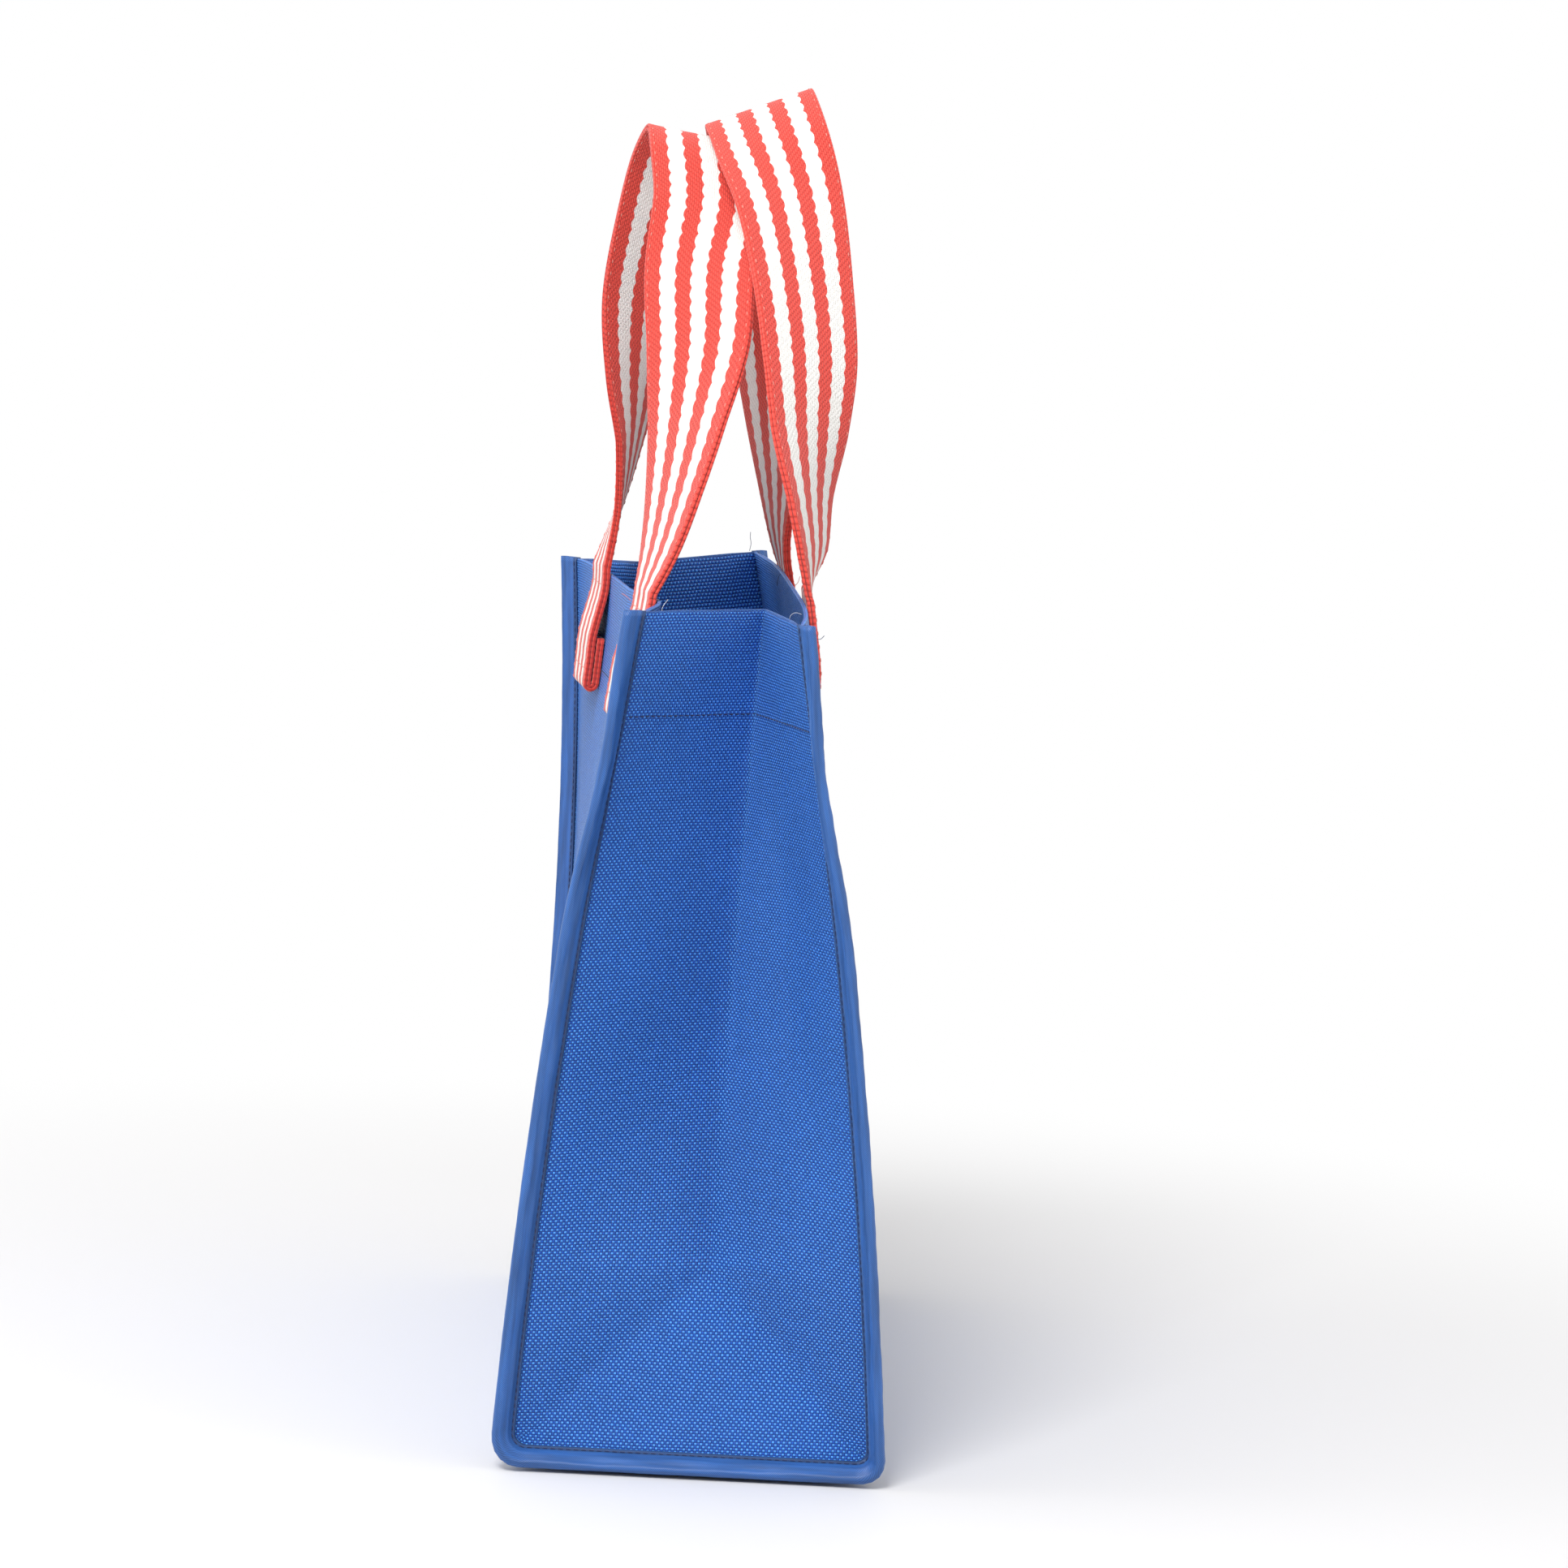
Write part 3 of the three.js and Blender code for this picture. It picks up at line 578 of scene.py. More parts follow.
def make_gusset(name, end):
    edge = list(np.linspace(0, SEAM_ALLOWANCE, 4))[1:]
    inner = list(np.linspace(0, HALF_WIDTH, round(HALF_WIDTH / GUSSET_STEP) + 1))
    half = inner + [HALF_WIDTH + out for out in edge]
    flat_x = np.array([-y for y in reversed(half[1:])] + half)
    hem = hem_rows(14, HEM_LIFT)
    hem_up = sorted({SEAM_HEIGHT - row[0] for row in hem})
    wall = list(np.linspace(0, hem_up[0], round(hem_up[0] / GUSSET_STEP)))[:-1]
    up = np.array([-out for out in reversed(edge)] + wall + hem_up)
    points = gusset_surface(end, flat_x[:, None], up[None, :])
    inward = normals(points)
    if (inward[..., 0].sum() > 0) == (end["side"] > 0):
        inward = -inward
    order = {height: k for k, height in enumerate(up)}
    turned = [(order[SEAM_HEIGHT - down], lift, rise) for down, lift, rise in reversed(hem)]
    rows = [(k, 0.0, 0.0) for k in range(len(up))] + turned
    from_seam = HALF_WIDTH - np.abs(flat_x)
    taper = HEM_AT_SEAM + (1 - HEM_AT_SEAM) * smooth(from_seam / HEM_TAPER)
    grid = hemmed(points, inward, rows, taper)
    beyond = [SEAM_HEIGHT + HEM_LIFT * 1.5 + k for k in np.linspace(0, HEM_DEPTH, len(turned))]
    piece = sheet_mesh(name, grid, flat_x + HALF_WIDTH, np.array([*up, *beyond]))
    thicken(piece, CLOTH)
    return piece


for end_name, end in ENDS.items():
    gusset = make_gusset(f"gusset_cloth_{end_name}", end)
    stand_for(gusset, f"gusset_{end_name}", OXFORD)


# Bindings
# A satin bias tape is folded over the raw edges of each end seam and stitched through along
# its inner edge, so it stands out as a soft rounded piping with twill lines across it. The
# lines are drawn 0.8 mm apart, coarser than real ones, so that they show.
BINDING_WIDTH = 11
BINDING_TAPE = 0.5
BINDING_OFFSET = 1.85
BINDING_PROUD = 1
BINDING_STEP = 1.6
BINDING_STITCH_AT = 2.0
BINDING_STAND = 1.25
BINDING_PUFF = 3
# Drag lines between the stitches, slack along the tape, and a ridge that wanders along it.
BINDING_DRAG = [(0.12, 1.7, 1.4, 0, 0), (0.18, 5.3, -2.2, 0, 0)]
BINDING_SLACK = [(0.12, 23, math.inf, 0, 0), (0.1, 9.1, math.inf, 0, 1)]
RIDGE = 0.28
RIDGE_TURN = 1.5
RIDGE_WANDER = 0.9
RIDGE_LENGTH = 37
TWILL_PITCH = 0.8
# Across one face of the tape: how far out from the seam, and the tape's stand-off there.
BINDING_FACE = [
    (0.5, 1.55), (1.2, 1.45), (BINDING_STITCH_AT, BINDING_STAND), (2.8, 1.45),
    (4.0, 1.8), (5.6, 2.0), (7.2, 2.0), (8.6, 1.85),
]


def binding_profile():
    turned = [math.pi / 2 - math.pi * k / 8 for k in range(1, 8)]
    flat = BINDING_FACE[-1][0]
    curve = [(flat + BINDING_OFFSET * math.cos(a), BINDING_OFFSET * math.sin(a)) for a in turned]
    back = [(out, -aside) for out, aside in reversed(BINDING_FACE)]
    return np.array([*BINDING_FACE, *curve, *back])


def binding_surface(end, runs, out, aside):
    """Points of the tape: runs along it, out and aside across its fold."""
    root, along, to_gusset = fin(end, *outline_at(runs))
    puffed = smooth((out - BINDING_STITCH_AT) / BINDING_PUFF)
    puffed = puffed * smooth((BINDING_WIDTH - out) / BINDING_PUFF)
    ridge = RIDGE * np.sin(out * RIDGE_TURN + RIDGE_WANDER * np.sin(runs / RIDGE_LENGTH))
    drag = ripples(BINDING_DRAG + BINDING_SLACK, runs, out, end["side"])
    aside = aside + np.sign(aside) * puffed * (ridge + drag)
    point = root + along * out[..., None] + to_gusset * aside[..., None]
    ends = smooth(1 - np.minimum(runs, WHOLE_RUN - runs) / 2)
    point[..., 2] += BINDING_PROUD * ends
    return point


def make_binding(name, end):
    profile = binding_profile()
    steps = round(WHOLE_RUN / BINDING_STEP)
    runs = np.linspace(0, WHOLE_RUN, steps + 1)
    grid = binding_surface(end, runs[None, :], profile[:, 0:1], profile[:, 1:2])
    across = np.concatenate([[0], np.cumsum(np.linalg.norm(np.diff(profile, axis=0), axis=-1))])
    piece = sheet_mesh(name, grid, across, runs)
    thicken(piece, BINDING_TAPE)
    return piece, across[-1]


def ridges(tree, steps, power):
    """A rounded ridge for each whole step: the sine of half a turn, to a power."""
    turned = add_node(tree, "Math", {"operation": "MULTIPLY"}, {0: steps, 1: math.pi})
    wave = add_node(tree, "Math", {"operation": "SINE"}, {0: turned})
    rise = add_node(tree, "Math", {"operation": "ABSOLUTE"}, {0: wave})
    return add_node(tree, "Math", {"operation": "POWER"}, {0: rise, 1: power})


def satin_tape():
    """Polyester satin bias tape, cut on the cross. Its fine twill lines run slantwise over
    the fold and its long floats give it a silky highlight along the roll."""
    material, tree = new_material("satin_bias_tape")
    flat = add_node(tree, "UVMap", {"uv_map": "flat"}, {})
    parts = add_node(tree, "SeparateXYZ", {}, {0: flat})
    slant = add_node(tree, "Math", {"operation": "ADD"}, {0: parts.outputs[0], 1: parts.outputs[1]})
    lines = add_node(tree, "Math", {"operation": "DIVIDE"}, {0: slant, 1: TWILL_PITCH * MM})
    rib = ridges(tree, lines, 1.0)
    stretched = add_node(tree, "VectorMath", {"operation": "MULTIPLY"}, {0: flat, 1: (430.0, 24.0, 1.0)})
    streak = add_node(tree, "TexNoise", {}, {"Vector": stretched, "Scale": 1.0, "Detail": 4.0})
    toned = add_node(tree, "MapRange", {}, {
        "Value": streak, "From Min": 0.32, "From Max": 0.68, "To Min": 0.7, "To Max": 1.25,
    })
    whole = float(np.linalg.norm(np.diff(binding_profile(), axis=0), axis=-1).sum())
    # Painted shade: within 1.4 to 3 mm of either inner edge the tape is darkened to half, in the channel
    # along the stitch line. The streaks are the tape's own tone.
    from_edge = add_node(tree, "Math", {"operation": "PINGPONG"}, {0: parts.outputs[0], 1: whole / 2 * MM})
    painted_channel_shade = add_node(tree, "MapRange", {"interpolation_type": "SMOOTHSTEP"}, {
        "Value": from_edge, "From Min": 1.4 * MM, "From Max": 3.0 * MM, "To Min": 0.5, "To Max": 1.0,
    })
    streak_tone_and_channel_shade = add_node(tree, "Math", {"operation": "MULTIPLY"}, {0: toned, 1: painted_channel_shade})
    color = add_node(tree, "Mix", {"data_type": "RGBA"}, {
        0: rib, 6: linear("#143B78"), 7: linear("#3569B0"),
    })
    varied = add_node(tree, "VectorMath", {"operation": "SCALE"}, {0: color.outputs[2], "Scale": streak_tone_and_channel_shade})
    bump = add_node(tree, "Bump", {}, {"Strength": 0.6, "Distance": 0.00012, "Height": rib})
    shader = add_node(tree, "BsdfPrincipled", {}, {
        "Base Color": varied,
        "Roughness": 0.4,
        "IOR": 1.5,
        "Sheen Weight": 0.35,
        "Sheen Roughness": 0.3,
        "Sheen Tint": linear("#9CC0F5"),
        "Normal": bump,
    })
    add_node(tree, "OutputMaterial", {}, {"Surface": shader})
    return material


SATIN = satin_tape()
for end_name, end in ENDS.items():
    binding, tape_width = make_binding(f"binding_tape_{end_name}", end)
    stand_for(binding, f"binding_{end_name}", SATIN)


# Seam stitching
# A lockstitch in blue polyester thread closes each binding, and another holds down the hems
# all round, 43 mm under the rim. Each stitch is a short bead that sinks half into the cloth.
STITCH_LENGTH = 2.5
STITCH_PITCH = 3.2
THREAD = 0.7
THREAD_PROUD = 0.1
HEM_STITCH_DOWN = 43


def tangents(points):
    return unit(np.gradient(points, axis=0))


def along_line(points, ups, pitch):
    """Evenly spaced places on a line: the points, their headings and the way up from them."""
    lengths = np.concatenate([[0], np.cumsum(np.linalg.norm(np.diff(points, axis=0), axis=-1))])
    stops = np.arange(pitch / 2, lengths[-1], pitch)
    place = np.stack([np.interp(stops, lengths, points[:, k]) for k in range(3)], axis=-1)
    up = np.stack([np.interp(stops, lengths, ups[:, k]) for k in range(3)], axis=-1)
    return place, tangents(place), unit(up)


def stitch_row(points, ups, pitch=STITCH_PITCH, length=STITCH_LENGTH, thread=THREAD):
    """A stitch at every pitch along a line, lying on the side that ups points to: the middle
    of each, and its length, width and height as three vectors."""
    place, ahead, up = along_line(points, ups, pitch)
    up = unit(up - ahead * (up * ahead).sum(axis=-1, keepdims=True))
    return np.stack([place, ahead * length, np.cross(up, ahead) * thread, up * thread], axis=1)


def stitch_piece(name, rows, material):
    """Doubles one rounded stitch until there are enough, and lays a copy in each place."""
    rows = np.concatenate(rows)
    bm = bmesh.new()
    bmesh.ops.create_uvsphere(bm, u_segments=6, v_segments=4, radius=0.5)
    shape = np.array([vert.co[:] for vert in bm.verts])[:, [2, 0, 1]]
    corner = bm.verts.layers.int.new("corner")
    stitch = bm.verts.layers.int.new("stitch")
    for number, vert in enumerate(bm.verts):
        vert[corner] = number
    count = 1
    while count < len(rows):
        doubled = bmesh.ops.duplicate(bm, geom=[*bm.verts, *bm.edges, *bm.faces])
        for item in doubled["geom"]:
            if isinstance(item, bmesh.types.BMVert):
                item[stitch] += count
        count *= 2
    spare = [vert for vert in bm.verts if vert[stitch] >= len(rows)]
    bmesh.ops.delete(bm, geom=spare, context="VERTS")
    laid = to_frame(rows[:, None, 0] + shape @ rows[:, 1:])
    for vert in bm.verts:
        vert.co = laid[vert[stitch], vert[corner]]
    for face in bm.faces:
        face.smooth = True
    for layer in ("stitch", "corner"):
        bm.verts.layers.int.remove(bm.verts.layers.int[layer])
    piece = finished(name, bm)
    piece.data.materials.append(material)
    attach(piece, "root")
    return piece


def sewing_thread(name, code):
    """Spun polyester sewing thread, matt and a little hairy, so it has a broad soft sheen."""
    material, tree = new_material(name)
    place = add_node(tree, "TexCoord", {}, {})
    fuzz = add_node(tree, "TexNoise", {}, {"Vector": place.outputs["Object"], "Scale": 2500.0})
    toned = add_node(tree, "MapRange", {}, {
        "Value": fuzz, "From Min": 0.3, "From Max": 0.7, "To Min": 0.7, "To Max": 1.15,
    })
    varied = add_node(tree, "VectorMath", {"operation": "SCALE"}, {0: linear(code)[:3], "Scale": toned})
    shader = add_node(tree, "BsdfPrincipled", {}, {
        "Base Color": varied,
        "Roughness": 0.7,
        "Sheen Weight": 0.2,
    })
    add_node(tree, "OutputMaterial", {}, {"Surface": shader})
    return material


BLUE_THREAD = sewing_thread("blue_polyester_thread", "#0C2656")
for end_name, end in ENDS.items():
    runs = np.linspace(1, WHOLE_RUN - 1, 1200)
    rows = []
    for aside in (1, -1):
        out = np.full_like(runs, BINDING_STITCH_AT)
        stand = np.full_like(runs, aside * (BINDING_STAND + BINDING_TAPE / 2 + THREAD * 0.15))
        line = binding_surface(end, runs, out, stand)
        facing = fin(end, *outline_at(runs))[2] * aside
        rows.append(stitch_row(line, facing))
    stitch_piece(f"binding_stitching_{end_name}", rows, BLUE_THREAD)

rows = []
for end in ENDS.values():
    y = np.linspace(-HALF_WIDTH + 2, HALF_WIDTH - 2, 120)
    line = gusset_surface(end, y, np.full_like(y, SEAM_HEIGHT - HEM_STITCH_DOWN))
    above = gusset_surface(end, y, np.full_like(y, SEAM_HEIGHT - HEM_STITCH_DOWN + 2))
    outward = unit(np.cross(np.gradient(line, axis=0), above - line))
    outward *= np.where(outward[:, 0:1] * end["side"] < 0, -1, 1)
    rows.append(stitch_row(line + outward * (CLOTH / 2 + THREAD * THREAD_PROUD), outward))
for run in (HEM_STITCH_DOWN, WHOLE_RUN - HEM_STITCH_DOWN):
    span = np.linspace(0.008, 0.992, 200)
    outline = [np.full_like(span, value) for value in outline_at(run)]
    line = wrap_point(outline, span)
    outward = np.broadcast_to([0.0, math.copysign(1, outline[0][0]), 0.0], line.shape)
    rows.append(stitch_row(line + outward * (CLOTH / 2 + THREAD * THREAD_PROUD), outward))
stitch_piece("hem_stitching", rows, BLUE_THREAD)


# Handles
# Each handle is two plies of soft cotton-rich webbing, woven in seven red and white stripes
# and sewn together back to back. Its ends are folded under and sewn to the outside of the
# panel, and between them it rises in one loop that twists edge-on over the bag.
WEBBING_WIDTH = 50
PLY = 1.6
PLY_GAP = 0.1
STRAP = 2 * PLY + 0.3
FOOT_OFFSET = 88
FOOT_DROP = 51
FOOT_TUCK = 21
FOOT_BLEND = 23
FOOT_GAP = 0.3
RIM_CLEAR = 4
STRIPES = 7
SCALLOP_PITCH = 6.6
SCALLOP = 1.0
FLOAT_WIDTH = 0.95
FLOAT_LENGTH = 2.6
WEBBING_STEP = 2.5
HANDLES = {
    "front": {
        "turn_sign": 1,
        "stations": [
            [88, -33, 378, 17, 0], [86, -28.5, 402, 26, 0], [80, -24.5, 430, 38, 0],
            [68, -21.5, 462, 57, 0], [50, -22.5, 496, 68, 0], [30, -19.5, 526, 88, -3],
            [12, -22.5, 548, 90, -6], [-3, -24.5, 552.5, 91, -7], [-22, -30.5, 541, 94, -4],
            [-42, -37, 515, 106, 0], [-60, -43.5, 484, 124, 0], [-75, -46.5, 450, 147, 0],
            [-85, -48.5, 420, 167, 0], [-90, -52.5, 388, 178, 0],
        ],
    },
    "back": {
        "turn_sign": -1,
        "stations": [
            [89, 32, 378, 13, 0], [90, 29.5, 402, 22, 0], [88, 27.5, 430, 40, 0],
            [80, 26, 462, 52, 3], [66, 21, 496, 55, 8], [48, 14, 528, 62, 14],
            [26, 5, 554, 83, 20], [0, 0, 566.5, 90, 22], [-26, 2, 558, 95, 20],
            [-48, 5, 534, 103, 12], [-66, 9, 502, 114, 5], [-79, 13.5, 468, 127, 0],
            [-87, 16, 434, 146, 0], [-90, 19, 404, 159, 0], [-90, 21.5, 378, 171, 0],
        ],
    },
}


def wall_point(panel, x, z):
    """The point of a panel's cloth at a given x and z, found by stepping towards it."""
    side = -1.0 if panel == "front" else 1.0
    span, height = 0.5 + x / PANEL_LENGTH, z
    for _ in range(8):
        outline = [np.array([v]) for v in (side * HALF_WIDTH, height, side, 0.0)]
        point = wrap_point(outline, np.array([span]))[0]
        span += (x - point[0]) / PANEL_LENGTH
        height += z - point[2]
    return point


def rim_height(panel, x):
    side = -1.0 if panel == "front" else 1.0
    outline = [np.array([v]) for v in (side * HALF_WIDTH, SEAM_HEIGHT, side, 0.0)]
    return wrap_point(outline, np.array([0.5 + x / PANEL_LENGTH]))[0][2]


def foot_path(panel, x):
    """One end of the webbing: tucked up behind itself, turned, and sewn up to the rim."""
    sign = -1 if panel == "front" else 1
    rim = rim_height(panel, x)
    bottom = rim - FOOT_DROP
    bend = (STRAP + 0.3) / 2
    flush = CLOTH / 2 + FOOT_GAP + STRAP / 2
    raised = flush + 2 * bend
    path = [(flush, bottom + bend + FOOT_TUCK), (flush, bottom + bend + FOOT_TUCK / 2)]
    for k in range(9):
        angle = math.pi * k / 8
        path.append((flush + bend - bend * math.cos(angle), bottom + bend - bend * math.sin(angle)))
    path += [(raised, bottom + bend + FOOT_TUCK / 2), (raised, bottom + bend + FOOT_TUCK)]
    path += [(flush, bottom + bend + FOOT_TUCK + FOOT_BLEND), (flush, rim + RIM_CLEAR)]
    result = []
    for out, z in path:
        middle = wall_point(panel, x, z)
        ends = [wall_point(panel, x + k * WEBBING_WIDTH / 2, z) for k in (-1, 1)]
        width = unit(ends[1] - ends[0])
        middle[1] = sign * max(sign * middle[1], sign * (ends[0][1] + ends[1][1]) / 2)
        middle += np.array([-sign * width[1], sign * width[0], 0]) * out
        result.append((middle, width))
    return result


def curve_through(points, counts):
    """A centripetal Catmull-Rom curve through points, with counts steps in each stretch."""
    points = np.asarray(points, float)
    padded = np.vstack([2 * points[0] - points[1], points, 2 * points[-1] - points[-2]])
    result = []
    for k, count in enumerate(counts):
        p = padded[k : k + 4]
        gaps = np.maximum(np.linalg.norm(np.diff(p, axis=0), axis=-1) ** 0.5, 1e-4)
        first = (p[1] - p[0]) / gaps[0] - (p[2] - p[0]) / (gaps[0] + gaps[1]) + (p[2] - p[1]) / gaps[1]
        last = (p[2] - p[1]) / gaps[1] - (p[3] - p[1]) / (gaps[1] + gaps[2]) + (p[3] - p[2]) / gaps[2]
        first, last = first * gaps[1], last * gaps[1]
        t = (np.arange(count) / count)[:, None]
        result.append(
            (2 * t**3 - 3 * t**2 + 1) * p[1] + (t**3 - 2 * t**2 + t) * first
            + (3 * t**2 - 2 * t**3) * p[2] + (t**3 - t**2) * last
        )
    return np.vstack([*result, points[-1:]])


def handle_path(panel, handle):
    """Middles and widthways directions of a whole handle, at short even steps."""
    sign = handle["turn_sign"]
    near = foot_path(panel, FOOT_OFFSET)
    far = [(middle, -width) for middle, width in reversed(foot_path(panel, -FOOT_OFFSET))]
    headings = [math.degrees(math.atan2(w[1], w[0])) * sign for _, w in (near[-1], far[0])]
    if headings[1] < 0:
        headings[1] += 360
    stations = handle["stations"]
    free = np.array([near[-1][0], *[s[:3] for s in stations], far[0][0]])
    turns = np.array([[headings[0], 0], *[s[3:] for s in stations], [headings[1], 0]])
    steps = np.linalg.norm(np.diff(free, axis=0), axis=-1)
    counts = [max(2, round(step / WEBBING_STEP)) for step in steps]
    middles = curve_through(free, counts)
    turned = np.radians(curve_through(turns, counts))
    heading = turned[:, 0] * sign
    widths = vectors(
        np.cos(turned[:, 1]) * np.cos(heading),
        np.cos(turned[:, 1]) * np.sin(heading),
        sign * np.sin(turned[:, 1]),
    )
    feet = []
    for foot in (near, far):
        places = np.array([middle for middle, _ in foot])
        spans = np.linalg.norm(np.diff(places, axis=0), axis=-1)
        counts = [max(2, round(span / WEBBING_STEP)) for span in spans]
        knots = np.concatenate([[0], np.cumsum(counts)])
        across = np.array([width for _, width in foot])
        ticks = np.arange(knots[-1] + 1)
        width = np.stack([np.interp(ticks, knots, across[:, k]) for k in range(3)], axis=-1)
        feet.append((curve_through(places, counts), width))
    middle = np.vstack([feet[0][0][:-1], middles, feet[1][0][1:]])
    width = np.vstack([feet[0][1][:-1], widths, feet[1][1][1:]])
    run = tangents(middle)
    width = unit(width - run * (width * run).sum(axis=-1, keepdims=True))
    return middle, width, np.cross(run, width) * -sign


def make_ply(name, path, stand):
    """One ply: its rounded-off section, drawn round and along the path, stand off its middle."""
    middle, width, out = path
    half, core = PLY / 2, WEBBING_WIDTH / 2 - PLY / 2
    level = np.linspace(-core, core, 21)
    bend = np.linspace(-math.pi / 2, math.pi / 2, 7)[1:-1]
    top = [(x, half) for x in level]
    right = [(core + half * math.cos(a), -half * math.sin(a)) for a in bend]
    section = np.array(top + right + [(-x, -y) for x, y in top] + [(-x, -y) for x, y in right] + top[:1])
    grid = (
        middle[None]
        + width[None] * section[:, 0, None, None]
        + out[None] * (section[:, 1, None, None] + stand)
    )
    lengths = np.concatenate([[0], np.cumsum(np.linalg.norm(np.diff(middle, axis=0), axis=-1))])
    piece = sheet_mesh(name, grid, section[:, 0] + WEBBING_WIDTH / 2, lengths)
    bm = bmesh.new()
    bm.from_mesh(piece.data)
    bmesh.ops.remove_doubles(bm, verts=bm.verts, dist=1e-6)
    bmesh.ops.holes_fill(bm, edges=[edge for edge in bm.edges if edge.is_boundary], sides=0)
    bmesh.ops.recalc_face_normals(bm, faces=bm.faces)
    bm.to_mesh(piece.data)
    bm.free()
    return piece, lengths[-1]


def striped_webbing():
    """Soft cotton-and-polyester webbing, woven in stripes. The warp floats lie along it as
    short raised grains, stepped from yarn to yarn, and they scallop each stripe's edge."""
    material, tree = new_material("striped_webbing")
    flat = add_node(tree, "UVMap", {"uv_map": "flat"}, {})
    parts = add_node(tree, "SeparateXYZ", {}, {0: flat})
    across = add_node(tree, "Math", {"operation": "DIVIDE"}, {0: parts.outputs[0], 1: FLOAT_WIDTH * MM})
    yarn = add_node(tree, "Math", {"operation": "FLOOR"}, {0: across})
    stepped = add_node(tree, "Math", {"operation": "MULTIPLY"}, {0: yarn, 1: 0.37})
    length = add_node(tree, "Math", {"operation": "DIVIDE"}, {0: parts.outputs[1], 1: FLOAT_LENGTH * MM})
    along = add_node(tree, "Math", {"operation": "ADD"}, {0: length, 1: stepped})
    grain = add_node(tree, "Math", {"operation": "MULTIPLY"}, {
        0: ridges(tree, along, 0.5), 1: ridges(tree, across, 0.6),
    })
    scallops = add_node(tree, "Math", {"operation": "DIVIDE"}, {
        0: parts.outputs[1], 1: SCALLOP_PITCH * MM,
    })
    scallop = ridges(tree, scallops, 1.0)
    ragged = add_node(tree, "TexNoise", {}, {"Vector": flat, "Scale": 600.0, "Detail": 2.0})
    centred = add_node(tree, "Math", {"operation": "SUBTRACT"}, {0: parts.outputs[0], 1: SCALLOP * MM})
    shifted = add_node(tree, "Math", {"operation": "MULTIPLY_ADD"}, {0: scallop, 1: SCALLOP * MM, 2: centred})
    frayed = add_node(tree, "Math", {"operation": "MULTIPLY_ADD"}, {0: ragged, 1: 0.4 * MM, 2: shifted})
    stripe = add_node(tree, "Math", {"operation": "DIVIDE"}, {0: frayed, 1: WEBBING_WIDTH / STRIPES * MM})
    held = add_node(tree, "Clamp", {}, {"Value": stripe, "Min": 0.1, "Max": STRIPES - 0.1})
    stripe_turn = add_node(tree, "Math", {"operation": "MULTIPLY"}, {0: held, 1: math.pi})
    stripe_wave = add_node(tree, "Math", {"operation": "SINE"}, {0: stripe_turn})
    white = add_node(tree, "MapRange", {}, {
        "Value": stripe_wave, "From Min": 0.06, "From Max": -0.06, "To Min": 0.0, "To Max": 1.0,
    })
    red = add_node(tree, "Mix", {"data_type": "RGBA"}, {
        0: grain, 6: linear("#B52A22"), 7: linear("#F6574A"),
    })
    pale = add_node(tree, "Mix", {"data_type": "RGBA"}, {
        0: grain, 6: linear("#E4DFD8"), 7: linear("#FDFBF8"),
    })
    color = add_node(tree, "Mix", {"data_type": "RGBA"}, {0: white, 6: red.outputs[2], 7: pale.outputs[2]})
    fuzz = add_node(tree, "TexNoise", {}, {"Vector": flat, "Scale": 900.0, "Detail": 3.0})
    toned = add_node(tree, "MapRange", {}, {
        "Value": fuzz, "From Min": 0.3, "From Max": 0.7, "To Min": 0.92, "To Max": 1.05,
    })
    varied = add_node(tree, "VectorMath", {"operation": "SCALE"}, {0: color.outputs[2], "Scale": toned})
    relief = add_node(tree, "Math", {"operation": "MULTIPLY_ADD"}, {0: fuzz, 1: 0.5, 2: grain})
    bump = add_node(tree, "Bump", {}, {"Strength": 0.9, "Distance": 0.0003, "Height": relief})
    shader = add_node(tree, "BsdfPrincipled", {}, {
        "Base Color": varied,
        "Roughness": 0.85,
        "Specular IOR Level": 0.25,
        "Sheen Weight": 0.25,
        "Sheen Roughness": 0.5,
        "Normal": bump,
    })
    add_node(tree, "OutputMaterial", {}, {"Surface": shader})
    return material


def cross_stitches(path, at):
    """A row of small stitches across a foot, on its outer face, at a length along the path."""
    middle = path[0]
    lengths = np.concatenate([[0], np.cumsum(np.linalg.norm(np.diff(middle, axis=0), axis=-1))])
    spot, width, out = (
        np.array([np.interp(at, lengths, part[:, k]) for k in range(3)]) for part in path
    )
    reach = np.linspace(-1, 1, 30)[:, None] * (WEBBING_WIDTH / 2 - EDGE_STITCH_IN)
    line = spot + out * (PLY + PLY_GAP / 2 + THREAD * THREAD_PROUD) + width * reach
    return stitch_row(line, np.broadcast_to(out, line.shape), CROSS_STITCH_PITCH, EDGE_STITCH, CROSS_THREAD)


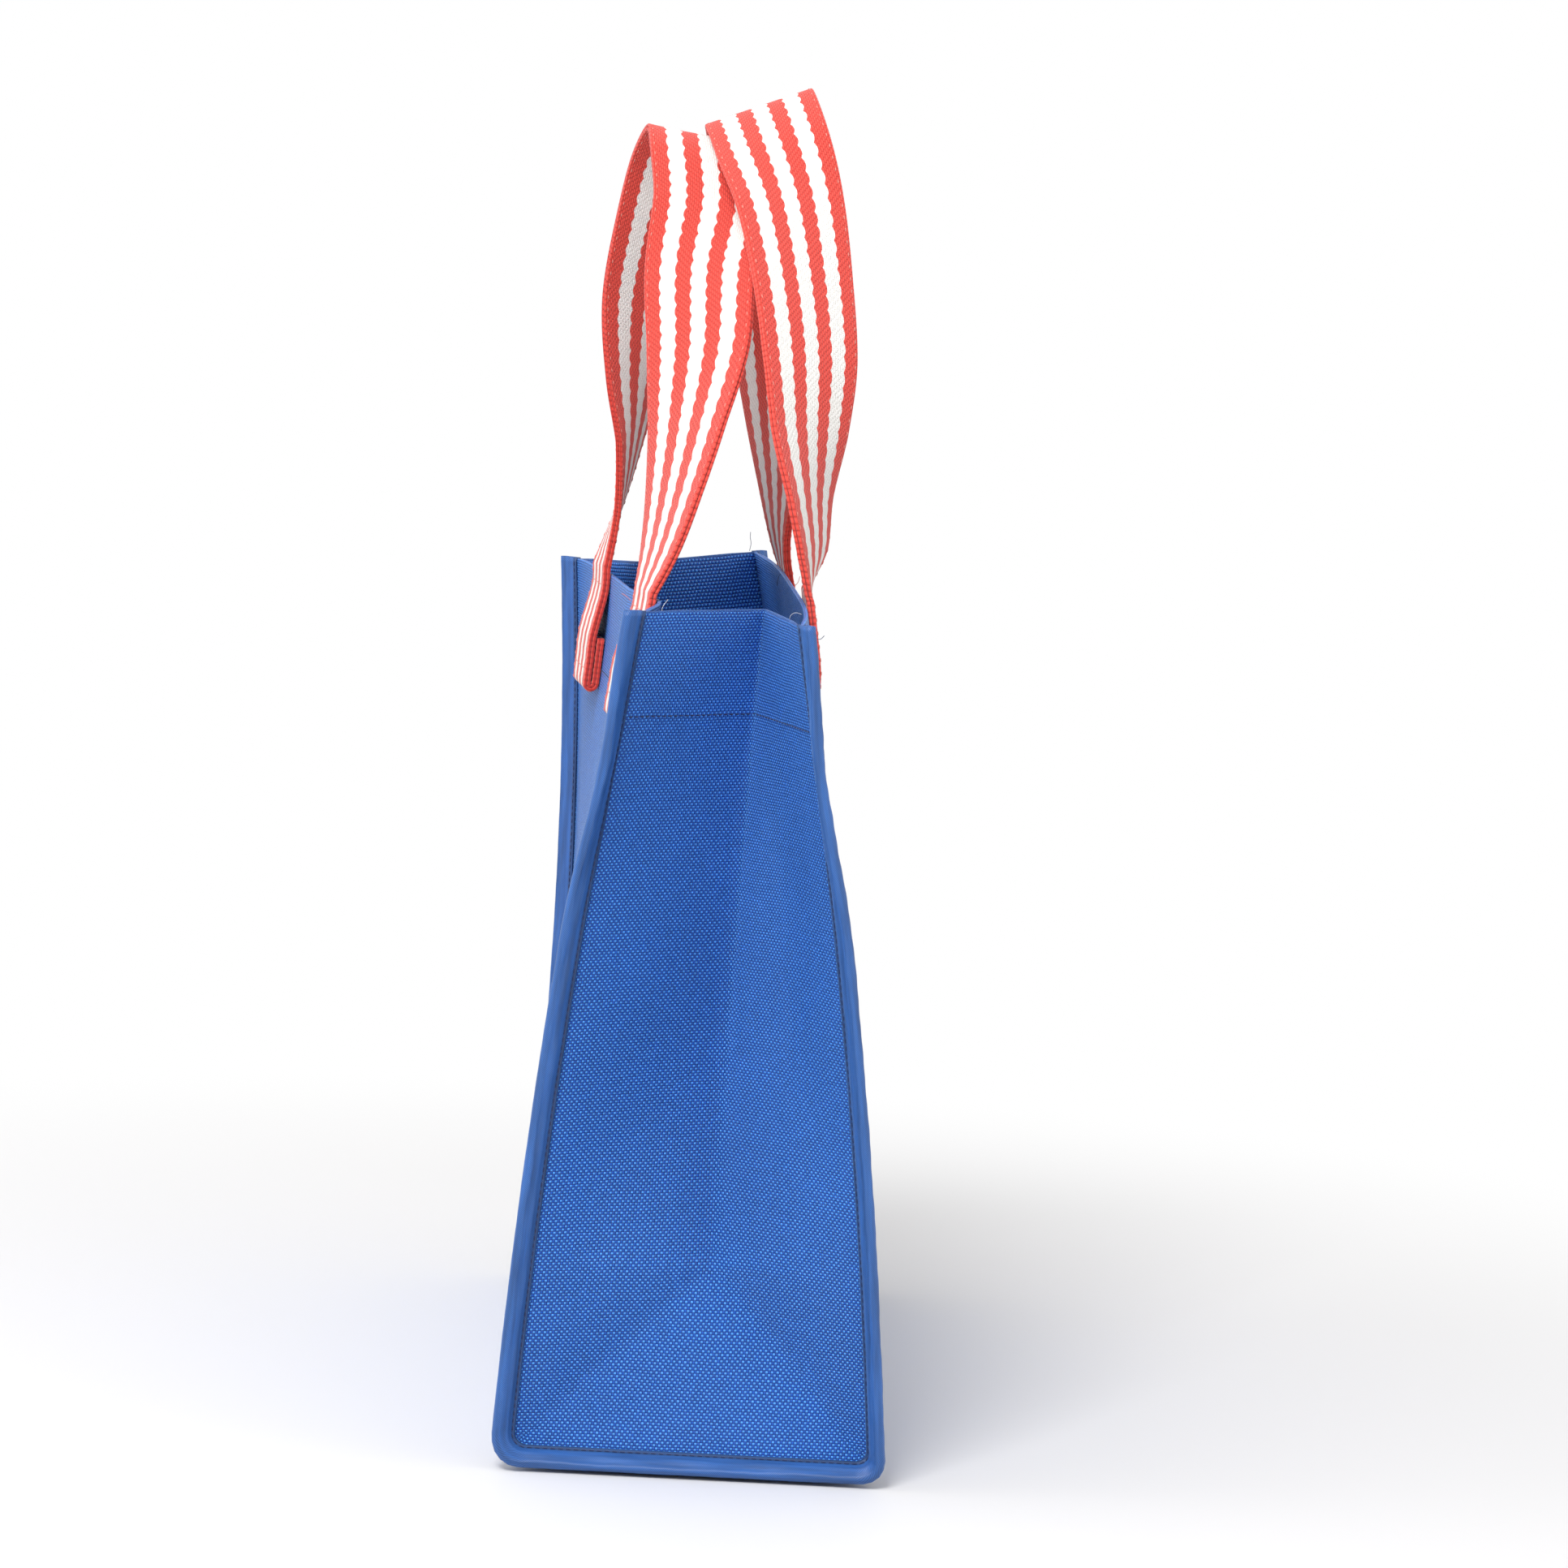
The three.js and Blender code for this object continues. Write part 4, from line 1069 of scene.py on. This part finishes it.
WEBBING = striped_webbing()
RED_THREAD = sewing_thread("red_polyester_thread", "#E28E80")
EDGE_STITCH_IN = 1.6
EDGE_STITCH_PITCH = 5.7
EDGE_STITCH = 1.9
EDGE_THREAD = 0.5
CROSS_THREAD = 0.4
CROSS_STITCH_LOW = 7
CROSS_STITCH_HIGH = 5
CROSS_STITCH_PITCH = 2.6
PLY_OFFSET = PLY / 2 + PLY_GAP / 2
for panel, handle in HANDLES.items():
    path = handle_path(panel, handle)
    for ply_name, stand in (("outer", PLY_OFFSET), ("inner", -PLY_OFFSET)):
        ply, length = make_ply(f"handle_{panel}_{ply_name}_webbing", path, stand)
        stand_for(ply, f"handle_{panel}_{ply_name}_ply", WEBBING)
    rows = []
    for edge in (-1, 1):
        for face in (-1, 1):
            inset = WEBBING_WIDTH / 2 - EDGE_STITCH_IN
            surface = PLY + PLY_GAP / 2 + THREAD * THREAD_PROUD
            line = path[0] + path[1] * edge * inset + path[2] * face * surface
            rows.append(stitch_row(line, path[2] * face, EDGE_STITCH_PITCH, EDGE_STITCH, EDGE_THREAD))
    fold = FOOT_TUCK + math.pi * (STRAP + FOOT_GAP) / 2
    for from_end in (fold + CROSS_STITCH_LOW, fold + FOOT_DROP - CROSS_STITCH_HIGH):
        rows += [cross_stitches(path, from_end), cross_stitches(path, length - from_end)]
    stitch_piece(f"handle_{panel}_stitching", rows, RED_THREAD)


# Loose thread ends
# Where a seam or a handle's stitching stops, the sewing machine has left a few short ends of
# thread standing along the rim. Each is a chain of small beads on a curve.
LOOSE_THREAD = 0.3
BEADS_A_STRETCH = 8
PALE_THREAD = sewing_thread("pale_polyester_thread", "#C9CDD6")
LOOSE_ENDS = {
    "blue": (BLUE_THREAD, [
        [(200, 31, 351.5), (200, 32, 350.5), (200, 33.5, 350.5), (200, 35, 352)],
        [(-196, 10, 361), (-196, 10.5, 364.5), (-196, 10, 367.5), (-196, 10, 370)],
        [(-60, 21, 354), (-60, 21, 356), (-60, 21.5, 358), (-60, 22, 359)],
    ]),
    "pale": (PALE_THREAD, [
        [(174, -31, 355), (174, -31, 357.5), (174, -30, 359.5), (174, -29, 361)],
        [(150, 21.5, 353), (150, 22.5, 356), (150, 24.5, 357), (150, 26.5, 356.5)],
    ]),
    "red": (RED_THREAD, [
        [(-20, 25.5, 357.5), (-20, 27, 356.5), (-20, 29, 358), (-20, 30, 361)],
        [(58, -48.5, 354.5), (58, -47.5, 354), (58, -46, 353), (58, -44.5, 351.5)],
    ]),
}
for color, (thread, ends) in LOOSE_ENDS.items():
    rows = []
    for points in ends:
        line = curve_through(points, [BEADS_A_STRETCH] * (len(points) - 1))
        facing = np.broadcast_to([1.0, 0.2, 0.1], line.shape)
        rows.append(stitch_row(line, facing, LOOSE_THREAD * 1.5, LOOSE_THREAD * 3, LOOSE_THREAD))
    stitch_piece(f"loose_ends_{color}", rows, thread)


# Floor and light
# A plain pale floor, a soft lamp high in front, three weaker ones at the sides and above, and a
# pale surround. The floor keeps the bag's shadow, and the camera sees the surround as white.
FLOOR_SIZE = 12.0
# Each lamp's place and target in metres, its width, and its power in watts.
LAMPS = {
    "key": ((1.5, -0.55, 1.95), (0, 0, 0.15), 0.8, 40),
    "left": ((0.2, -1.6, 1.1), (0, 0, 0.25), 0.9, 6),
    "top": ((0.1, -0.5, 1.7), (0, 0, 0.3), 0.9, 4),
    "right": ((0.6, 1.9, 1.1), (0, 0, 0.25), 1.4, 7),
}


def make_floor():
    bm = bmesh.new()
    bmesh.ops.create_grid(bm, x_segments=1, y_segments=1, size=FLOOR_SIZE / 2)
    floor = finished("floor", bm)
    material, tree = new_material("pale_floor")
    shader = add_node(tree, "BsdfPrincipled", {}, {
        "Base Color": linear("#E0DFDF"), "Roughness": 0.6, "Specular IOR Level": 0.2,
    })
    place = add_node(tree, "TexCoord", {}, {})
    distance = add_node(tree, "VectorMath", {"operation": "LENGTH"}, {0: place.outputs["Object"]})
    away = add_node(tree, "MapRange", {"interpolation_type": "SMOOTHSTEP"}, {
        "Value": distance.outputs["Value"], "From Min": 0.3, "From Max": 0.8, "To Min": 0.0, "To Max": 1.0,
    })
    path = add_node(tree, "LightPath", {}, {})
    seen = add_node(tree, "Math", {"operation": "MULTIPLY"}, {0: away, 1: path.outputs["Is Camera Ray"]})
    white = add_node(tree, "Emission", {}, {"Color": (1, 1, 1, 1), "Strength": 1.0})
    faded = add_node(tree, "MixShader", {}, {0: seen, 1: shader, 2: white})
    add_node(tree, "OutputMaterial", {}, {"Surface": faded})
    floor.data.materials.append(material)


def make_lamp(name, place, target, size, watts):
    data = bpy.data.lights.new(name, "AREA")
    data.size = size
    data.energy = watts
    lamp = bpy.data.objects.new(name, data)
    aim = Vector(target) - Vector(place)
    lamp.visible_camera = False
    lamp.matrix_world = Matrix.Translation(place) @ aim.to_track_quat("-Z", "Y").to_matrix().to_4x4()
    bpy.context.scene.collection.objects.link(lamp)


def make_world():
    world = bpy.data.worlds.new("surround")
    bpy.context.scene.world = world
    world.use_nodes = True
    tree = world.node_tree
    tree.nodes.clear()
    path = add_node(tree, "LightPath", {}, {})
    through = add_node(tree, "Math", {"operation": "MAXIMUM"}, {
        0: path.outputs["Is Camera Ray"], 1: path.outputs["Is Transmission Ray"],
    })
    seen = add_node(tree, "Math", {"operation": "MAXIMUM"}, {
        0: through, 1: path.outputs["Is Glossy Ray"],
    })
    way = add_node(tree, "TexCoord", {}, {})
    height = add_node(tree, "SeparateXYZ", {}, {0: way.outputs["Generated"]})
    soft = add_node(tree, "MapRange", {}, {
        "Value": height.outputs[2], "From Min": 0.0, "From Max": 0.8, "To Min": 0.26, "To Max": 0.78,
    })
    strength = add_node(tree, "MapRange", {}, {
        "Value": seen, "From Min": 0.0, "From Max": 1.0, "To Min": soft, "To Max": 1.0,
    })
    surround = add_node(tree, "Background", {}, {"Color": (1, 1, 1, 1), "Strength": strength})
    add_node(tree, "OutputWorld", {}, {"Surface": surround})


make_floor()
for lamp_name, (place, target, size, watts) in LAMPS.items():
    make_lamp(lamp_name, place, target, size, watts)
make_world()
bpy.context.scene.view_settings.view_transform = "Standard"
